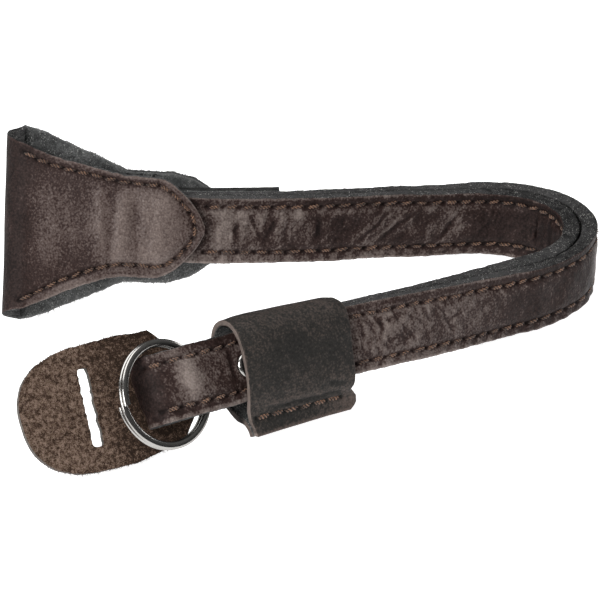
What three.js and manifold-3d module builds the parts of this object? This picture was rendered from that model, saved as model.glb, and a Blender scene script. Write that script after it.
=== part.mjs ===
// A leather camera wrist strap, bent in an open U and standing on its edge.
// Millimetres, +Z up, origin under the middle of the object.
// Every leather piece is a flat strip that is bent along the strap's own route:
// "at" runs along the strap, "out" to the outer side of the U and "up" across the strap's width.
import * as THREE from 'three';
import * as BufferGeometryUtils from 'three/addons/utils/BufferGeometryUtils.js';
import Module from 'manifold-3d';

// Route of the strap, from the fold of the flared end to the split ring.
const START = new THREE.Vector3(-65.3, 23.476, 0.105);
const START_HEADING = 5.5;
const BENDS = [
  { from: 25, to: 85, turn: 16.5 },
  { from: 100, to: 165, turn: -163 },
  { from: 180, to: 235, turn: -10 },
];
const STATIONS = [
  { at: 0, lean: 29, height: 21.2 },
  { at: 45, lean: 13, height: 17.2 },
  { at: 80, lean: 8, height: 12.8 },
  { at: 108, lean: 3, height: 8.7 },
  { at: 134, lean: 2, height: 7.7 },
  { at: 160, lean: 0, height: 7.8 },
  { at: 185, lean: -8, height: 11 },
  { at: 205, lean: -18, height: 13.6 },
  { at: 226, lean: -22, height: 15.3 },
  { at: 250, lean: -33, height: 15.7 },
  { at: 268, lean: -38, height: 15.5 },
];
const ROUTE_LENGTH = 300;
const ROUTE_STEP = 0.5;
const MERGE_WITHIN = 1e-4;

// Strap: two leather layers.
const STRAP_WIDTH = 15;
const LAYER = 2.8;
const GAP = 0.3;
const STRAP_START = 27.6;
const STRAP_STEP = 3;
const BEND_MIDDLE = 133;
const BEND_REACH = 34;
const BEND_PARTING_INNER = 1.2;
const BEND_PARTING_OUTER = 0.7;

// Flared end: one leather piece folded over the strap's end.
const END_WALL = 2.2;
const END_FRONT = {
  wide: 20.5, neck: 11.2, start: 0, flare: 26, power: 1.3, round: 33, end: 43.4, rounding: 1.5,
};
const END_BACK = {
  wide: 21.7, neck: 12.4, start: 4, flare: 23.4, power: 0.95, round: 36.5, end: 52, rounding: 1.8,
};
const END_FRONT_LIFT = 0.65;
const END_LIFTED = 22;
const END_BACK_DROP = 1.9;
const END_DROPPED = 40;
const END_FOLD_RADIUS = 3.2;
const END_STEPS = 24;
const END_FOLD_STEP = Math.PI / 10;
const END_TIP_SHARE = 0.97;
const END_BACK_SETTLED = 25.6;
const TONGUE = 2.9;
const TONGUE_END = 62.4;

// Ring loop: the outer layer parts from its return, and folds.
const LOOP_OPENS = 244.9;
const LOOP_OPEN = 249.2;
const LOOP_FRONT_BULGE = 2.8;
const LOOP_BACK_BULGE = 1.9;
const LOOP_END = 264.5;
const RETURN_END = 231;
const LOOP_STEP = 1;
const LOOP_FOLD_STEP = Math.PI / 12;

// Split ring of two turns.
const RING = { at: 261, out: 2.35, up: -1.9, radius: 10.9, radial: 1.7, axial: 0.9, pitch: 1.05 };
const RING_TILT_ALONG = 15;
const RING_TILT_UP = 3;
const RING_TURNS = 2;
const RING_STEPS = 96;
const RING_SECTION_STEPS = 4;

// Rivet through both layers and the neck of the tab.
const RIVET = { at: 241, up: -0.3, cap: 3.1, dome: 1.6, rim: 0.6, post: 1.4, tail: 2.4, tailThick: 0.6 };
const RIVET_HOLE = 1.75;
const HOLE_SIDES = 24;
const RIVET_SIDES = 32;
const RIVET_DOME_STEPS = 6;

// Keeper: a strip wrapped round the near arm, its two ends sewn together below.
const KEEPER_WALL = 1.8;
const KEEPER_FROM = 217.2;
const KEEPER_TO = 243.6;
const KEEPER_STEPS = 56;
const KEEPER_ROWS = 6;
const KEEPER_SECTION = [
  { tight: [1.1, -15], loose: [1.1, -15.7] },
  { tight: [1.3, -12], loose: [1.9, -12] },
  { tight: [4.3, -7.8], loose: [5.2, -6.5] },
  { tight: [4.6, -1], loose: [7.2, 0] },
  { tight: [4.6, 4.5], loose: [7.2, 5.4] },
  { tight: [3.8, 8.4], loose: [4.6, 8.5] },
  { tight: [0, 8.75], loose: [0.5, 9.1] },
  { tight: [-3.8, 8.4], loose: [-4.2, 8.5] },
  { tight: [-4.6, 4.5], loose: [-7.2, 4.6] },
  { tight: [-4.6, -1], loose: [-7.9, -1] },
  { tight: [-4.5, -7], loose: [-7.3, -7.6] },
  { tight: [-3, -10.2], loose: [-4.4, -10.6] },
  { tight: [-1.3, -12], loose: [-1.4, -12.4] },
  { tight: [-1.1, -15], loose: [-1.1, -15.7] },
];

// Slotted tab that lies between the ring and a camera.
const TAB_WALL = 1.2;
const TAB_HALF = 13.5;
const TAB_SHOULDER_HALF = 12.4;
const TAB_NECK_HALF = 5.5;
const TAB_NECK_START = 236.5;
const TAB_NECK_END = 251.6;
const TAB_SHOULDER = 257.4;
const TAB_WIDEST = 268;
const TAB_ROUND = 272.5;
const TAB_END = 290.6;
const TAB_ROUNDING = 2.5;
const TAB_TIP_SHARE = 0.99;
const TAB_TIP_STEP = 1.2;
const SLOT = { at: 274.7, up: 0.25, long: 16.9, wide: 2.9, turn: 5 };

const wasm = await Module();
wasm.setup();

const easeStep = (from, to, value) => THREE.MathUtils.smoothstep(value, from, to);

// Value of a column of the stations, with a smooth slope from one row to the next.
function stationValue(column, at) {
  const last = STATIONS.length - 1;
  const place = THREE.MathUtils.clamp(at, STATIONS[0].at, STATIONS[last].at);
  let row = 0;
  while (row < last - 1 && STATIONS[row + 1].at < place) row += 1;
  const slope = (from) => (STATIONS[from + 1][column] - STATIONS[from][column])
    / (STATIONS[from + 1].at - STATIONS[from].at);
  const rowSlope = (index) => {
    if (index === 0) return slope(0);
    if (index === last) return slope(last - 1);
    return (slope(index - 1) + slope(index)) / 2;
  };
  const span = STATIONS[row + 1].at - STATIONS[row].at;
  const t = (place - STATIONS[row].at) / span;
  const start = STATIONS[row][column] * (1 + 2 * t) * (1 - t) ** 2;
  const end = STATIONS[row + 1][column] * t * t * (3 - 2 * t);
  const startSlope = rowSlope(row) * span * t * (1 - t) ** 2;
  const endSlope = rowSlope(row + 1) * span * t * t * (t - 1);
  return start + end + startSlope + endSlope;
}

function headingAt(at) {
  const turned = BENDS.reduce((sum, bend) => sum + bend.turn * easeStep(bend.from, bend.to, at), 0);
  return THREE.MathUtils.degToRad(START_HEADING + turned);
}

// Points of the route every ROUTE_STEP, and the turned frame at each.
function walkRoute() {
  const frames = [];
  const point = START.clone();
  for (let at = 0; at <= ROUTE_LENGTH; at += ROUTE_STEP) {
    const heading = headingAt(at);
    const height = stationValue('height', at);
    const rise = (stationValue('height', at + ROUTE_STEP) - height) / ROUTE_STEP;
    const level = Math.sqrt(1 - rise * rise);
    const along = new THREE.Vector3(Math.cos(heading) * level, Math.sin(heading) * level, rise);
    const side = new THREE.Vector3(-Math.sin(heading), Math.cos(heading), 0);
    const lean = THREE.MathUtils.degToRad(stationValue('lean', at));
    const up = new THREE.Vector3(0, 0, Math.cos(lean)).addScaledVector(side, Math.sin(lean));
    up.addScaledVector(along, -up.dot(along)).normalize();
    const out = new THREE.Vector3().crossVectors(up, along);
    point.z = START.z + height;
    frames.push({ point: point.clone(), along, up, out });
    const nextHeading = headingAt(at + ROUTE_STEP / 2);
    point.x += Math.cos(nextHeading) * level * ROUTE_STEP;
    point.y += Math.sin(nextHeading) * level * ROUTE_STEP;
  }
  return frames;
}

const FRAMES = walkRoute();

function frameAt(at) {
  const index = THREE.MathUtils.clamp(Math.floor(at / ROUTE_STEP), 0, FRAMES.length - 2);
  const share = at / ROUTE_STEP - index;
  const here = FRAMES[index];
  const next = FRAMES[index + 1];
  const blend = (key) => here[key].clone().lerp(next[key], share);
  return { point: blend('point'), along: blend('along'), up: blend('up'), out: blend('out') };
}

function onRoute(at, out, up) {
  const frame = frameAt(at);
  return frame.point.addScaledVector(frame.out, out).addScaledVector(frame.up, up);
}

// A closed mesh with its shared corners merged and its faces pointing out.
function closedMesh(geometry) {
  geometry.deleteAttribute('normal');
  geometry.deleteAttribute('uv');
  geometry.clearGroups();
  const merged = BufferGeometryUtils.mergeVertices(geometry, MERGE_WITHIN);
  const place = merged.getAttribute('position');
  const index = merged.getIndex();
  const corners = [new THREE.Vector3(), new THREE.Vector3(), new THREE.Vector3()];
  let volume = 0;
  for (let i = 0; i < index.count; i += 3) {
    corners.forEach((corner, k) => corner.fromBufferAttribute(place, index.getX(i + k)));
    volume += corners[0].dot(corners[1].clone().cross(corners[2]));
  }
  if (volume < 0) index.array.reverse();
  return merged;
}

// A box grid whose long steps, width and thickness are placed by a function.
function bentGrid(steps, rows, spot) {
  const grid = new THREE.BoxGeometry(1, 1, 1, steps, rows, 1);
  const place = grid.getAttribute('position');
  for (let i = 0; i < place.count; i += 1) {
    const step = Math.round((place.getX(i) + 0.5) * steps);
    const target = spot(step, 2 * place.getY(i), place.getZ(i));
    place.setXYZ(i, target.x, target.y, target.z);
  }
  return closedMesh(grid);
}

// Unit normal of a flat path of [a, b] pairs at one of its points.
function pathNormal(path, step) {
  const before = path[Math.max(step - 1, 0)];
  const after = path[Math.min(step + 1, path.length - 1)];
  const length = Math.hypot(after[0] - before[0], after[1] - before[1]);
  return [-(after[1] - before[1]) / length, (after[0] - before[0]) / length];
}

// A leather strip whose middle follows a path of [at, out] pairs along the route.
function bentStrip(path, thickness, halfWidth, { rows = 1, drop = () => 0 } = {}) {
  return bentGrid(path.length - 1, rows, (step, across, through) => {
    const [atNormal, outNormal] = pathNormal(path, step);
    const at = path[step][0] + atNormal * through * thickness;
    const out = path[step][1] + outNormal * through * thickness;
    return onRoute(at, out, across * halfWidth(step) - drop(step));
  });
}

function stepsBetween(from, to, step) {
  const count = Math.max(1, Math.round(Math.abs(to - from) / step));
  return Array.from({ length: count + 1 }, (_, k) => from + ((to - from) * k) / count);
}

function toSolid(geometry) {
  const place = geometry.getAttribute('position');
  const mesh = new wasm.Mesh({
    numProp: 3,
    vertProperties: new Float32Array(place.array),
    triVerts: new Uint32Array(geometry.getIndex().array),
  });
  return new wasm.Manifold(mesh);
}

function cutAway(geometry, cutters) {
  const solid = cutters.reduce((left, cutter) => left.subtract(toSolid(cutter)), toSolid(geometry));
  const mesh = solid.getMesh();
  const result = new THREE.BufferGeometry();
  result.setAttribute('position', new THREE.BufferAttribute(mesh.vertProperties, 3));
  result.setIndex(new THREE.BufferAttribute(mesh.triVerts, 1));
  return result;
}

// Turned place on the strap: X along it, Y across it, Z to its inner side.
function placeOnRoute(at, out, up) {
  const frame = frameAt(at);
  const inner = frame.out.clone().negate();
  const matrix = new THREE.Matrix4().makeBasis(frame.along, frame.up, inner);
  return matrix.setPosition(onRoute(at, out, up));
}

const leather = (color) => new THREE.MeshStandardMaterial({ color, roughness: 0.6, metalness: 0 });
const steel = new THREE.MeshStandardMaterial({ color: 0xc9c9cb, roughness: 0.15, metalness: 1 });

// Share of the layers' parting in the bend.
function parting(at) {
  return easeStep(0, 1, 1 - Math.abs(at - BEND_MIDDLE) / BEND_REACH);
}

const LAYER_OUT = (GAP + LAYER) / 2;
const STRAP_FACE = GAP / 2 + LAYER;
const half = () => STRAP_WIDTH / 2;

function rivetHole(at, up) {
  const reach = 4 * STRAP_FACE;
  const hole = new THREE.CylinderGeometry(RIVET_HOLE, RIVET_HOLE, reach, HOLE_SIDES);
  hole.rotateX(Math.PI / 2);
  hole.applyMatrix4(placeOnRoute(at, 0, up));
  return closedMesh(hole);
}

function makeStrapInner() {
  const path = stepsBetween(STRAP_START, RETURN_END - 2 * GAP, STRAP_STEP)
    .map((at) => [at, -LAYER_OUT - BEND_PARTING_INNER * parting(at)]);
  return bentStrip(path, LAYER, half);
}

function makeStrapOuter() {
  const front = (at) => LAYER_OUT + BEND_PARTING_OUTER * parting(at)
    + LOOP_FRONT_BULGE * easeStep(LOOP_OPENS, LOOP_OPEN, at);
  const back = (at) => -LAYER_OUT - LOOP_BACK_BULGE * easeStep(LOOP_OPENS, LOOP_OPEN, at);
  const radius = (front(LOOP_OPEN) - back(LOOP_OPEN)) / 2;
  const middle = (front(LOOP_OPEN) + back(LOOP_OPEN)) / 2;
  const foldAt = LOOP_END - LAYER / 2 - radius;
  const opens = LOOP_OPENS - 2 * LOOP_STEP;
  const open = LOOP_OPEN + LOOP_STEP;
  const fold = stepsBetween(Math.PI / 2, -Math.PI / 2, LOOP_FOLD_STEP).slice(1, -1);
  const path = [
    ...stepsBetween(STRAP_START, LOOP_OPENS - STRAP_STEP, STRAP_STEP).map((at) => [at, front(at)]),
    ...stepsBetween(opens, open, LOOP_STEP).map((at) => [at, front(at)]),
    ...stepsBetween(open + STRAP_STEP, foldAt, STRAP_STEP).map((at) => [at, front(at)]),
    ...fold.map((angle) => [foldAt + radius * Math.cos(angle), middle + radius * Math.sin(angle)]),
    ...stepsBetween(foldAt, open + STRAP_STEP, STRAP_STEP).map((at) => [at, back(at)]),
    ...stepsBetween(open, opens, LOOP_STEP).map((at) => [at, back(at)]),
    ...stepsBetween(opens - 2 * LOOP_STEP, RETURN_END, STRAP_STEP).map((at) => [at, back(at)]),
  ];
  return cutAway(bentStrip(path, LAYER, half), [rivetHole(RIVET.at, RIVET.up)]);
}

// Half width of one wall of the flared end: a flare, a neck and a rounded tip.
function flareHalf(wall, at) {
  const flareShare = THREE.MathUtils.clamp(1 - (at - wall.start) / wall.flare, 0, 1);
  const tipShare = THREE.MathUtils.clamp((at - wall.round) / (wall.end - wall.round), 0, END_TIP_SHARE);
  const body = wall.neck + (wall.wide - wall.neck) * flareShare ** wall.power;
  return body * (1 - tipShare ** wall.rounding) ** (1 / wall.rounding);
}

const END_FRONT_OUT = -STRAP_FACE - GAP - END_WALL / 2;
const END_BACK_OUT = STRAP_FACE + GAP + TONGUE + GAP + END_WALL / 2;

function makeEndTab() {
  const foldAt = END_FOLD_RADIUS + END_WALL / 2;
  const foldOut = END_FRONT_OUT + END_FOLD_RADIUS;
  const backStart = foldOut + END_FOLD_RADIUS;
  const back = (at) => THREE.MathUtils.lerp(backStart, END_BACK_OUT, easeStep(foldAt, END_BACK_SETTLED, at));
  const fold = stepsBetween(-Math.PI / 2, -1.5 * Math.PI, END_FOLD_STEP).slice(1, -1);
  const rows = [];
  stepsBetween(END_FRONT.end, foldAt, (END_FRONT.end - foldAt) / END_STEPS).forEach((at) => {
    const drop = -END_FRONT_LIFT * easeStep(foldAt, END_LIFTED, at);
    rows.push({ spot: [at, END_FRONT_OUT], half: flareHalf(END_FRONT, at), drop });
  });
  fold.forEach((angle, k) => {
    const spot = [foldAt + END_FOLD_RADIUS * Math.cos(angle), foldOut + END_FOLD_RADIUS * Math.sin(angle)];
    const share = (k + 1) / (fold.length + 1);
    const turned = THREE.MathUtils.lerp(flareHalf(END_FRONT, foldAt), END_BACK.wide, share);
    rows.push({ spot, half: turned, drop: 0 });
  });
  stepsBetween(foldAt, END_BACK.end, (END_BACK.end - foldAt) / END_STEPS).forEach((at) => {
    const drop = END_BACK_DROP * easeStep(foldAt, END_DROPPED, at);
    rows.push({ spot: [at, back(at)], half: flareHalf(END_BACK, at), drop });
  });
  const path = rows.map((row) => row.spot);
  const shape = { rows: 2, drop: (step) => rows[step].drop };
  return bentStrip(path, END_WALL, (step) => rows[step].half, shape);
}

function makeEndTongue() {
  const out = STRAP_FACE + GAP + TONGUE / 2;
  const path = stepsBetween(STRAP_START, TONGUE_END, STRAP_STEP).map((at) => [at, out]);
  return bentStrip(path, TONGUE, half);
}

function makeKeeper() {
  const curveOf = (end) => new THREE.CatmullRomCurve3(
    KEEPER_SECTION.map((row) => new THREE.Vector3(row[end][0], row[end][1], 0)),
    false,
    'centripetal',
  );
  const pathOf = (end) => curveOf(end).getPoints(KEEPER_STEPS).map((spot) => [spot.x, spot.y]);
  const tight = pathOf('tight');
  const loose = pathOf('loose');
  return bentGrid(KEEPER_STEPS, KEEPER_ROWS, (step, across, through) => {
    const share = (across + 1) / 2;
    const spotOf = (path) => {
      const normal = pathNormal(path, step);
      return path[step].map((value, k) => value + normal[k] * through * KEEPER_WALL);
    };
    const near = spotOf(tight);
    const far = spotOf(loose);
    const [out, up] = near.map((value, k) => THREE.MathUtils.lerp(value, far[k], share));
    return onRoute(THREE.MathUtils.lerp(KEEPER_FROM, KEEPER_TO, share), out, up);
  });
}

function makeRivet() {
  const under = STRAP_FACE + GAP;
  const behind = -STRAP_FACE - GAP - TAB_WALL - GAP;
  const profile = new THREE.Path();
  profile.moveTo(0, behind - RIVET.tailThick);
  profile.lineTo(RIVET.tail, behind - RIVET.tailThick);
  profile.lineTo(RIVET.tail, behind);
  profile.lineTo(RIVET.post, behind);
  profile.lineTo(RIVET.post, under);
  profile.lineTo(RIVET.cap, under);
  profile.lineTo(RIVET.cap, under + RIVET.rim);
  profile.absellipse(0, under + RIVET.rim, RIVET.cap, RIVET.dome - RIVET.rim, 0, Math.PI / 2, false, 0);
  const turned = new THREE.LatheGeometry(profile.getPoints(RIVET_DOME_STEPS), RIVET_SIDES);
  turned.rotateX(-Math.PI / 2);
  turned.applyMatrix4(placeOnRoute(RIVET.at, 0, RIVET.up));
  return closedMesh(turned);
}

function makeSplitRing() {
  const section = new THREE.Shape();
  section.absellipse(0, 0, RING.radial / 2, RING.axial / 2, 0, 2 * Math.PI, false, 0);
  const wire = new THREE.ExtrudeGeometry(section, {
    depth: 1, steps: RING_STEPS, bevelEnabled: false, curveSegments: RING_SECTION_STEPS,
  });
  const place = wire.getAttribute('position');
  for (let i = 0; i < place.count; i += 1) {
    const turn = place.getZ(i) * RING_TURNS;
    const angle = 2 * Math.PI * turn;
    const reach = RING.radius + place.getX(i);
    const height = place.getY(i) + RING.pitch * (turn - RING_TURNS / 2);
    place.setXYZ(i, reach * Math.cos(angle), reach * Math.sin(angle), height);
  }
  wire.rotateY(THREE.MathUtils.degToRad(RING_TILT_ALONG));
  wire.rotateX(THREE.MathUtils.degToRad(-RING_TILT_UP));
  wire.applyMatrix4(placeOnRoute(RING.at, RING.out, RING.up));
  return closedMesh(wire);
}

// Half width of the tab: a neck, sloping shoulders and a round end.
function tabHalf(at) {
  const shoulderShare = THREE.MathUtils.clamp((at - TAB_NECK_END) / (TAB_SHOULDER - TAB_NECK_END), 0, 1);
  const shoulder = THREE.MathUtils.lerp(TAB_NECK_HALF, TAB_SHOULDER_HALF, shoulderShare);
  const body = shoulder + (TAB_HALF - TAB_SHOULDER_HALF) * easeStep(TAB_SHOULDER, TAB_WIDEST, at);
  const tipShare = THREE.MathUtils.clamp((at - TAB_ROUND) / (TAB_END - TAB_ROUND), 0, TAB_TIP_SHARE);
  return body * (1 - tipShare ** TAB_ROUNDING) ** (1 / TAB_ROUNDING);
}

function makeLugTab() {
  const neckOut = -STRAP_FACE - GAP - TAB_WALL / 2;
  const tabOut = neckOut - LOOP_BACK_BULGE - GAP;
  const bendFrom = LOOP_OPENS - LOOP_STEP;
  const out = (at) => THREE.MathUtils.lerp(neckOut, tabOut, easeStep(bendFrom, LOOP_OPEN - LOOP_STEP, at));
  const stations = [
    ...stepsBetween(TAB_NECK_START, bendFrom - LOOP_STEP, STRAP_STEP),
    ...stepsBetween(bendFrom, LOOP_OPEN, LOOP_STEP),
    ...stepsBetween(TAB_NECK_END, TAB_SHOULDER, STRAP_STEP),
    ...stepsBetween(TAB_SHOULDER + STRAP_STEP, TAB_ROUND, STRAP_STEP),
    ...stepsBetween(TAB_ROUND + TAB_TIP_STEP, TAB_END, TAB_TIP_STEP),
  ];
  const path = stations.map((at) => [at, out(at)]);
  const slot = new THREE.BoxGeometry(SLOT.wide, SLOT.long, 4 * TAB_WALL);
  slot.rotateZ(THREE.MathUtils.degToRad(SLOT.turn));
  slot.applyMatrix4(placeOnRoute(SLOT.at, tabOut, SLOT.up));
  const strip = bentStrip(path, TAB_WALL, (step) => tabHalf(stations[step]));
  return cutAway(strip, [closedMesh(slot), rivetHole(RIVET.at, RIVET.up)]);
}

const PIECES = [
  { name: 'end_tab', make: makeEndTab, material: leather(0x463a38) },
  { name: 'end_tongue', make: makeEndTongue, material: leather(0x2c2b2b) },
  { name: 'strap_inner', make: makeStrapInner, material: leather(0x40332f) },
  { name: 'strap_outer', make: makeStrapOuter, material: leather(0x463936) },
  { name: 'keeper', make: makeKeeper, material: leather(0x322e2d) },
  { name: 'rivet', make: makeRivet, material: steel },
  { name: 'split_ring', make: makeSplitRing, material: steel },
  { name: 'lug_tab', make: makeLugTab, material: leather(0x5e4d43) },
];

const strap = new THREE.Group();
PIECES.forEach((piece) => {
  const mesh = new THREE.Mesh(piece.make(), piece.material);
  mesh.name = piece.name;
  strap.add(mesh);
});

export default strap;
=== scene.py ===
"""A dark brown leather camera wrist strap, bent in an open U and standing on its edge.

Every leather piece is cut flat and then bent along the strap's own route, so its sizes are in millimetres:
"at" runs along the strap from the fold of the flared end, "out" to the outer side of the U and "up" across
it.
"""

import logging
import math
from collections.abc import Iterator
from contextlib import contextmanager
from dataclasses import dataclass, field
from enum import Enum

import bpy
import numpy as np
from mathutils import Matrix, Vector

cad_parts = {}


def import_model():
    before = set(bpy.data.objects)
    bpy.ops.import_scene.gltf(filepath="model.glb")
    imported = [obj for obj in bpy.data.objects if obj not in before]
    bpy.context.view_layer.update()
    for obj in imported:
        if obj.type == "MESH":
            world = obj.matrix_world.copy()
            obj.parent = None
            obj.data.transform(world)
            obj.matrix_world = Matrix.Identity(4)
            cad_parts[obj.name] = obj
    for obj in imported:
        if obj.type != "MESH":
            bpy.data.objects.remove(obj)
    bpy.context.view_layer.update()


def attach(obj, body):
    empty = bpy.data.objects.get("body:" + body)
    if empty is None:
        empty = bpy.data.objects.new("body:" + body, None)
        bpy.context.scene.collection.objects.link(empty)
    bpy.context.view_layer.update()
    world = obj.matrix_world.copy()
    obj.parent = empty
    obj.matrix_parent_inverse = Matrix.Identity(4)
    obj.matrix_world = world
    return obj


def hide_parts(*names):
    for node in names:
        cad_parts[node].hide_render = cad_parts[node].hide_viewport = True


LOG = logging.getLogger("wrist_strap")
MM = 0.001
BODY = "root"
SOCKET = bpy.types.NodeSocket
Array = np.ndarray
Piece = bpy.types.Object
Material = bpy.types.Material
Triple = tuple[float, float, float]
Span = tuple[float, float]
Spot = tuple[float, float]
Pair = tuple[Array, Array]
Skins = tuple[Material, Material, Material]
NOISE_PRIMES = np.array([73856093, 19349663, 83492791])
NOISE_SEED_PRIME = 26544357
NOISE_MIX = 1274126177
NOISE_SEED_STEP = 7.3


class Side(Enum):
    """The face of a leather piece that carries the grain."""

    OVER = 1
    UNDER = -1


def ease(start: float, end: float, value: Array) -> Array:
    """Smooth step of a value from 0 at start to 1 at end."""
    share = np.clip((value - start) / (end - start), 0.0, 1.0)
    return share * share * (3 - 2 * share)


def bump(value: Array, middle: float, width: float) -> Array:
    """Bell curve of height 1 at the middle."""
    return np.exp(-(((value - middle) / width) ** 2))


def lattice_noise(points: Array, seed: int) -> Array:
    """Smooth noise with one cell to each unit.

    Args:
        points: Places as rows of three numbers.
        seed: Number that tells one pattern from another.

    Returns:
        One value from -1 to 1 for each place.
    """
    cell = np.floor(points).astype(np.int64)
    share = points - cell
    share = share * share * (3 - 2 * share)
    total = np.zeros(len(points))
    for corner in np.ndindex(2, 2, 2):
        spot = cell + np.array(corner)
        first, second, third = (spot * NOISE_PRIMES).T
        mixed = first ^ second ^ third ^ seed * NOISE_SEED_PRIME
        mixed = (mixed ^ (mixed >> 13)) * NOISE_MIX
        value = ((mixed ^ (mixed >> 16)) & 0xFFFF) / 0x7FFF - 1
        weight = np.prod(np.where(corner, share, 1 - share), axis=1)
        total += value * weight
    return total


def flat_noise(at: Array, up: Array, size: Spot, seed: int) -> Array:
    """Noise over a flat piece, with cells of the given length and width."""
    points = np.stack([at / size[0], up / size[1], np.full_like(at, seed * NOISE_SEED_STEP)], axis=1)
    return lattice_noise(points, seed)


def unit(vectors: Array) -> Array:
    """Rows of vectors brought to length 1."""
    return vectors / np.linalg.norm(vectors, axis=-1, keepdims=True)


def steps_between(start: float, end: float, step: float) -> Array:
    """Evenly spaced numbers from start to end, about a step apart."""
    return np.linspace(start, end, max(2, round(abs(end - start) / step) + 1))


def line_distance(at: Array, up: Array, line: Array) -> Pair:
    """Distance of flat places to a line of straight stretches.

    Args:
        at: Places along the piece.
        up: Places across the piece.
        line: Corners of the line as rows of two numbers.

    Returns:
        The distance, and the length along the line to its nearest point.
    """
    best = np.full(at.shape, np.inf)
    along = np.zeros(at.shape)
    run = 0.0
    for start, end in zip(line[:-1], line[1:]):
        step = end - start
        length = math.hypot(step[0], step[1])
        share = ((at - start[0]) * step[0] + (up - start[1]) * step[1]) / length**2
        share = np.clip(share, 0.0, 1.0)
        gap = np.hypot(at - start[0] - share * step[0], up - start[1] - share * step[1])
        nearer = gap < best
        best = np.where(nearer, gap, best)
        along = np.where(nearer, run + share * length, along)
        run += length
    return best, along


def deselect_all() -> None:
    """Leave edit mode and select nothing."""
    if bpy.context.object is not None and bpy.context.object.mode != "OBJECT":
        bpy.ops.object.mode_set(mode="OBJECT")
    bpy.ops.object.select_all(action="DESELECT")


def activate(piece: Piece) -> None:
    """Make a piece the only selected one, and the active one."""
    deselect_all()
    piece.select_set(True)
    bpy.context.view_layer.objects.active = piece


@contextmanager
def all_selected() -> Iterator[None]:
    """Edit mode, with the whole mesh of the active piece selected."""
    bpy.ops.object.mode_set(mode="EDIT")
    bpy.ops.mesh.select_all(action="SELECT")
    yield
    bpy.ops.object.mode_set(mode="OBJECT")


def apply_modifier(piece: Piece, kind: str, **settings: object) -> None:
    """Add a modifier to a piece and apply it.

    Args:
        piece: The object to change.
        kind: Blender's name of the modifier's type.
        **settings: Values of the modifier's properties.
    """
    activate(piece)
    modifier = piece.modifiers.new(kind.title(), kind)
    for key, value in settings.items():
        setattr(modifier, key, value)
    bpy.ops.object.modifier_apply(modifier=modifier.name)


def read_points(piece: Piece) -> Array:
    """Corners of a piece's mesh as rows of three numbers."""
    flat = np.empty(3 * len(piece.data.vertices))
    piece.data.vertices.foreach_get("co", flat)
    return flat.reshape(-1, 3)


def write_points(piece: Piece, points: Array) -> None:
    """Move the corners of a piece's mesh."""
    piece.data.vertices.foreach_set("co", points.ravel())
    piece.data.update()


def mark_tone(piece: Piece, tone: Array) -> None:
    """Give each corner of a piece's mesh its tone."""
    marks = piece.data.attributes.new("tone", "FLOAT", "POINT")
    marks.data.foreach_set("value", tone.astype(np.float32))


def close_up(piece: Piece, smooth_angle: float) -> None:
    """Point a closed mesh's faces out and shade it smooth.

    Args:
        piece: The object to finish.
        smooth_angle: Angle in degrees past which an edge stays sharp.
    """
    activate(piece)
    with all_selected():
        bpy.ops.mesh.normals_make_consistent(inside=False)
    bpy.ops.object.shade_smooth_by_angle(angle=math.radians(smooth_angle))


def join_pieces(pieces: list[Piece], name: str) -> Piece:
    """Join pieces into the first one and name it."""
    deselect_all()
    for piece in pieces:
        piece.select_set(True)
    bpy.context.view_layer.objects.active = pieces[0]
    bpy.ops.object.join()
    pieces[0].name = name
    return pieces[0]


def copy_along(model: Piece, places: list[Matrix], name: str) -> Piece:
    """Copy a model to many places, each copy with its own mesh, and join the copies.

    Args:
        model: The object that repeats. It is removed afterwards.
        places: Where each copy goes.
        name: Name of the joined piece.

    Returns:
        The joined piece, at the origin.
    """
    copies = []
    for place in places:
        twin = model.copy()
        twin.data = model.data.copy()
        twin.data.transform(place)
        bpy.context.collection.objects.link(twin)
        copies.append(twin)
    bpy.data.objects.remove(model)
    return join_pieces(copies, name)


def settle(piece: Piece, nodes: tuple[str, ...] = ()) -> None:
    """Attach a piece to the body it rides on, hide the imported parts it stands for and log its faces."""
    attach(piece, BODY)
    if nodes:
        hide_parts(*nodes)
    LOG.info("%s: %d faces", piece.name, len(piece.data.polygons))


@dataclass(frozen=True)
class Turn:
    """A stretch of the route over which its heading turns, in degrees."""

    start: float
    end: float
    angle: float


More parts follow.
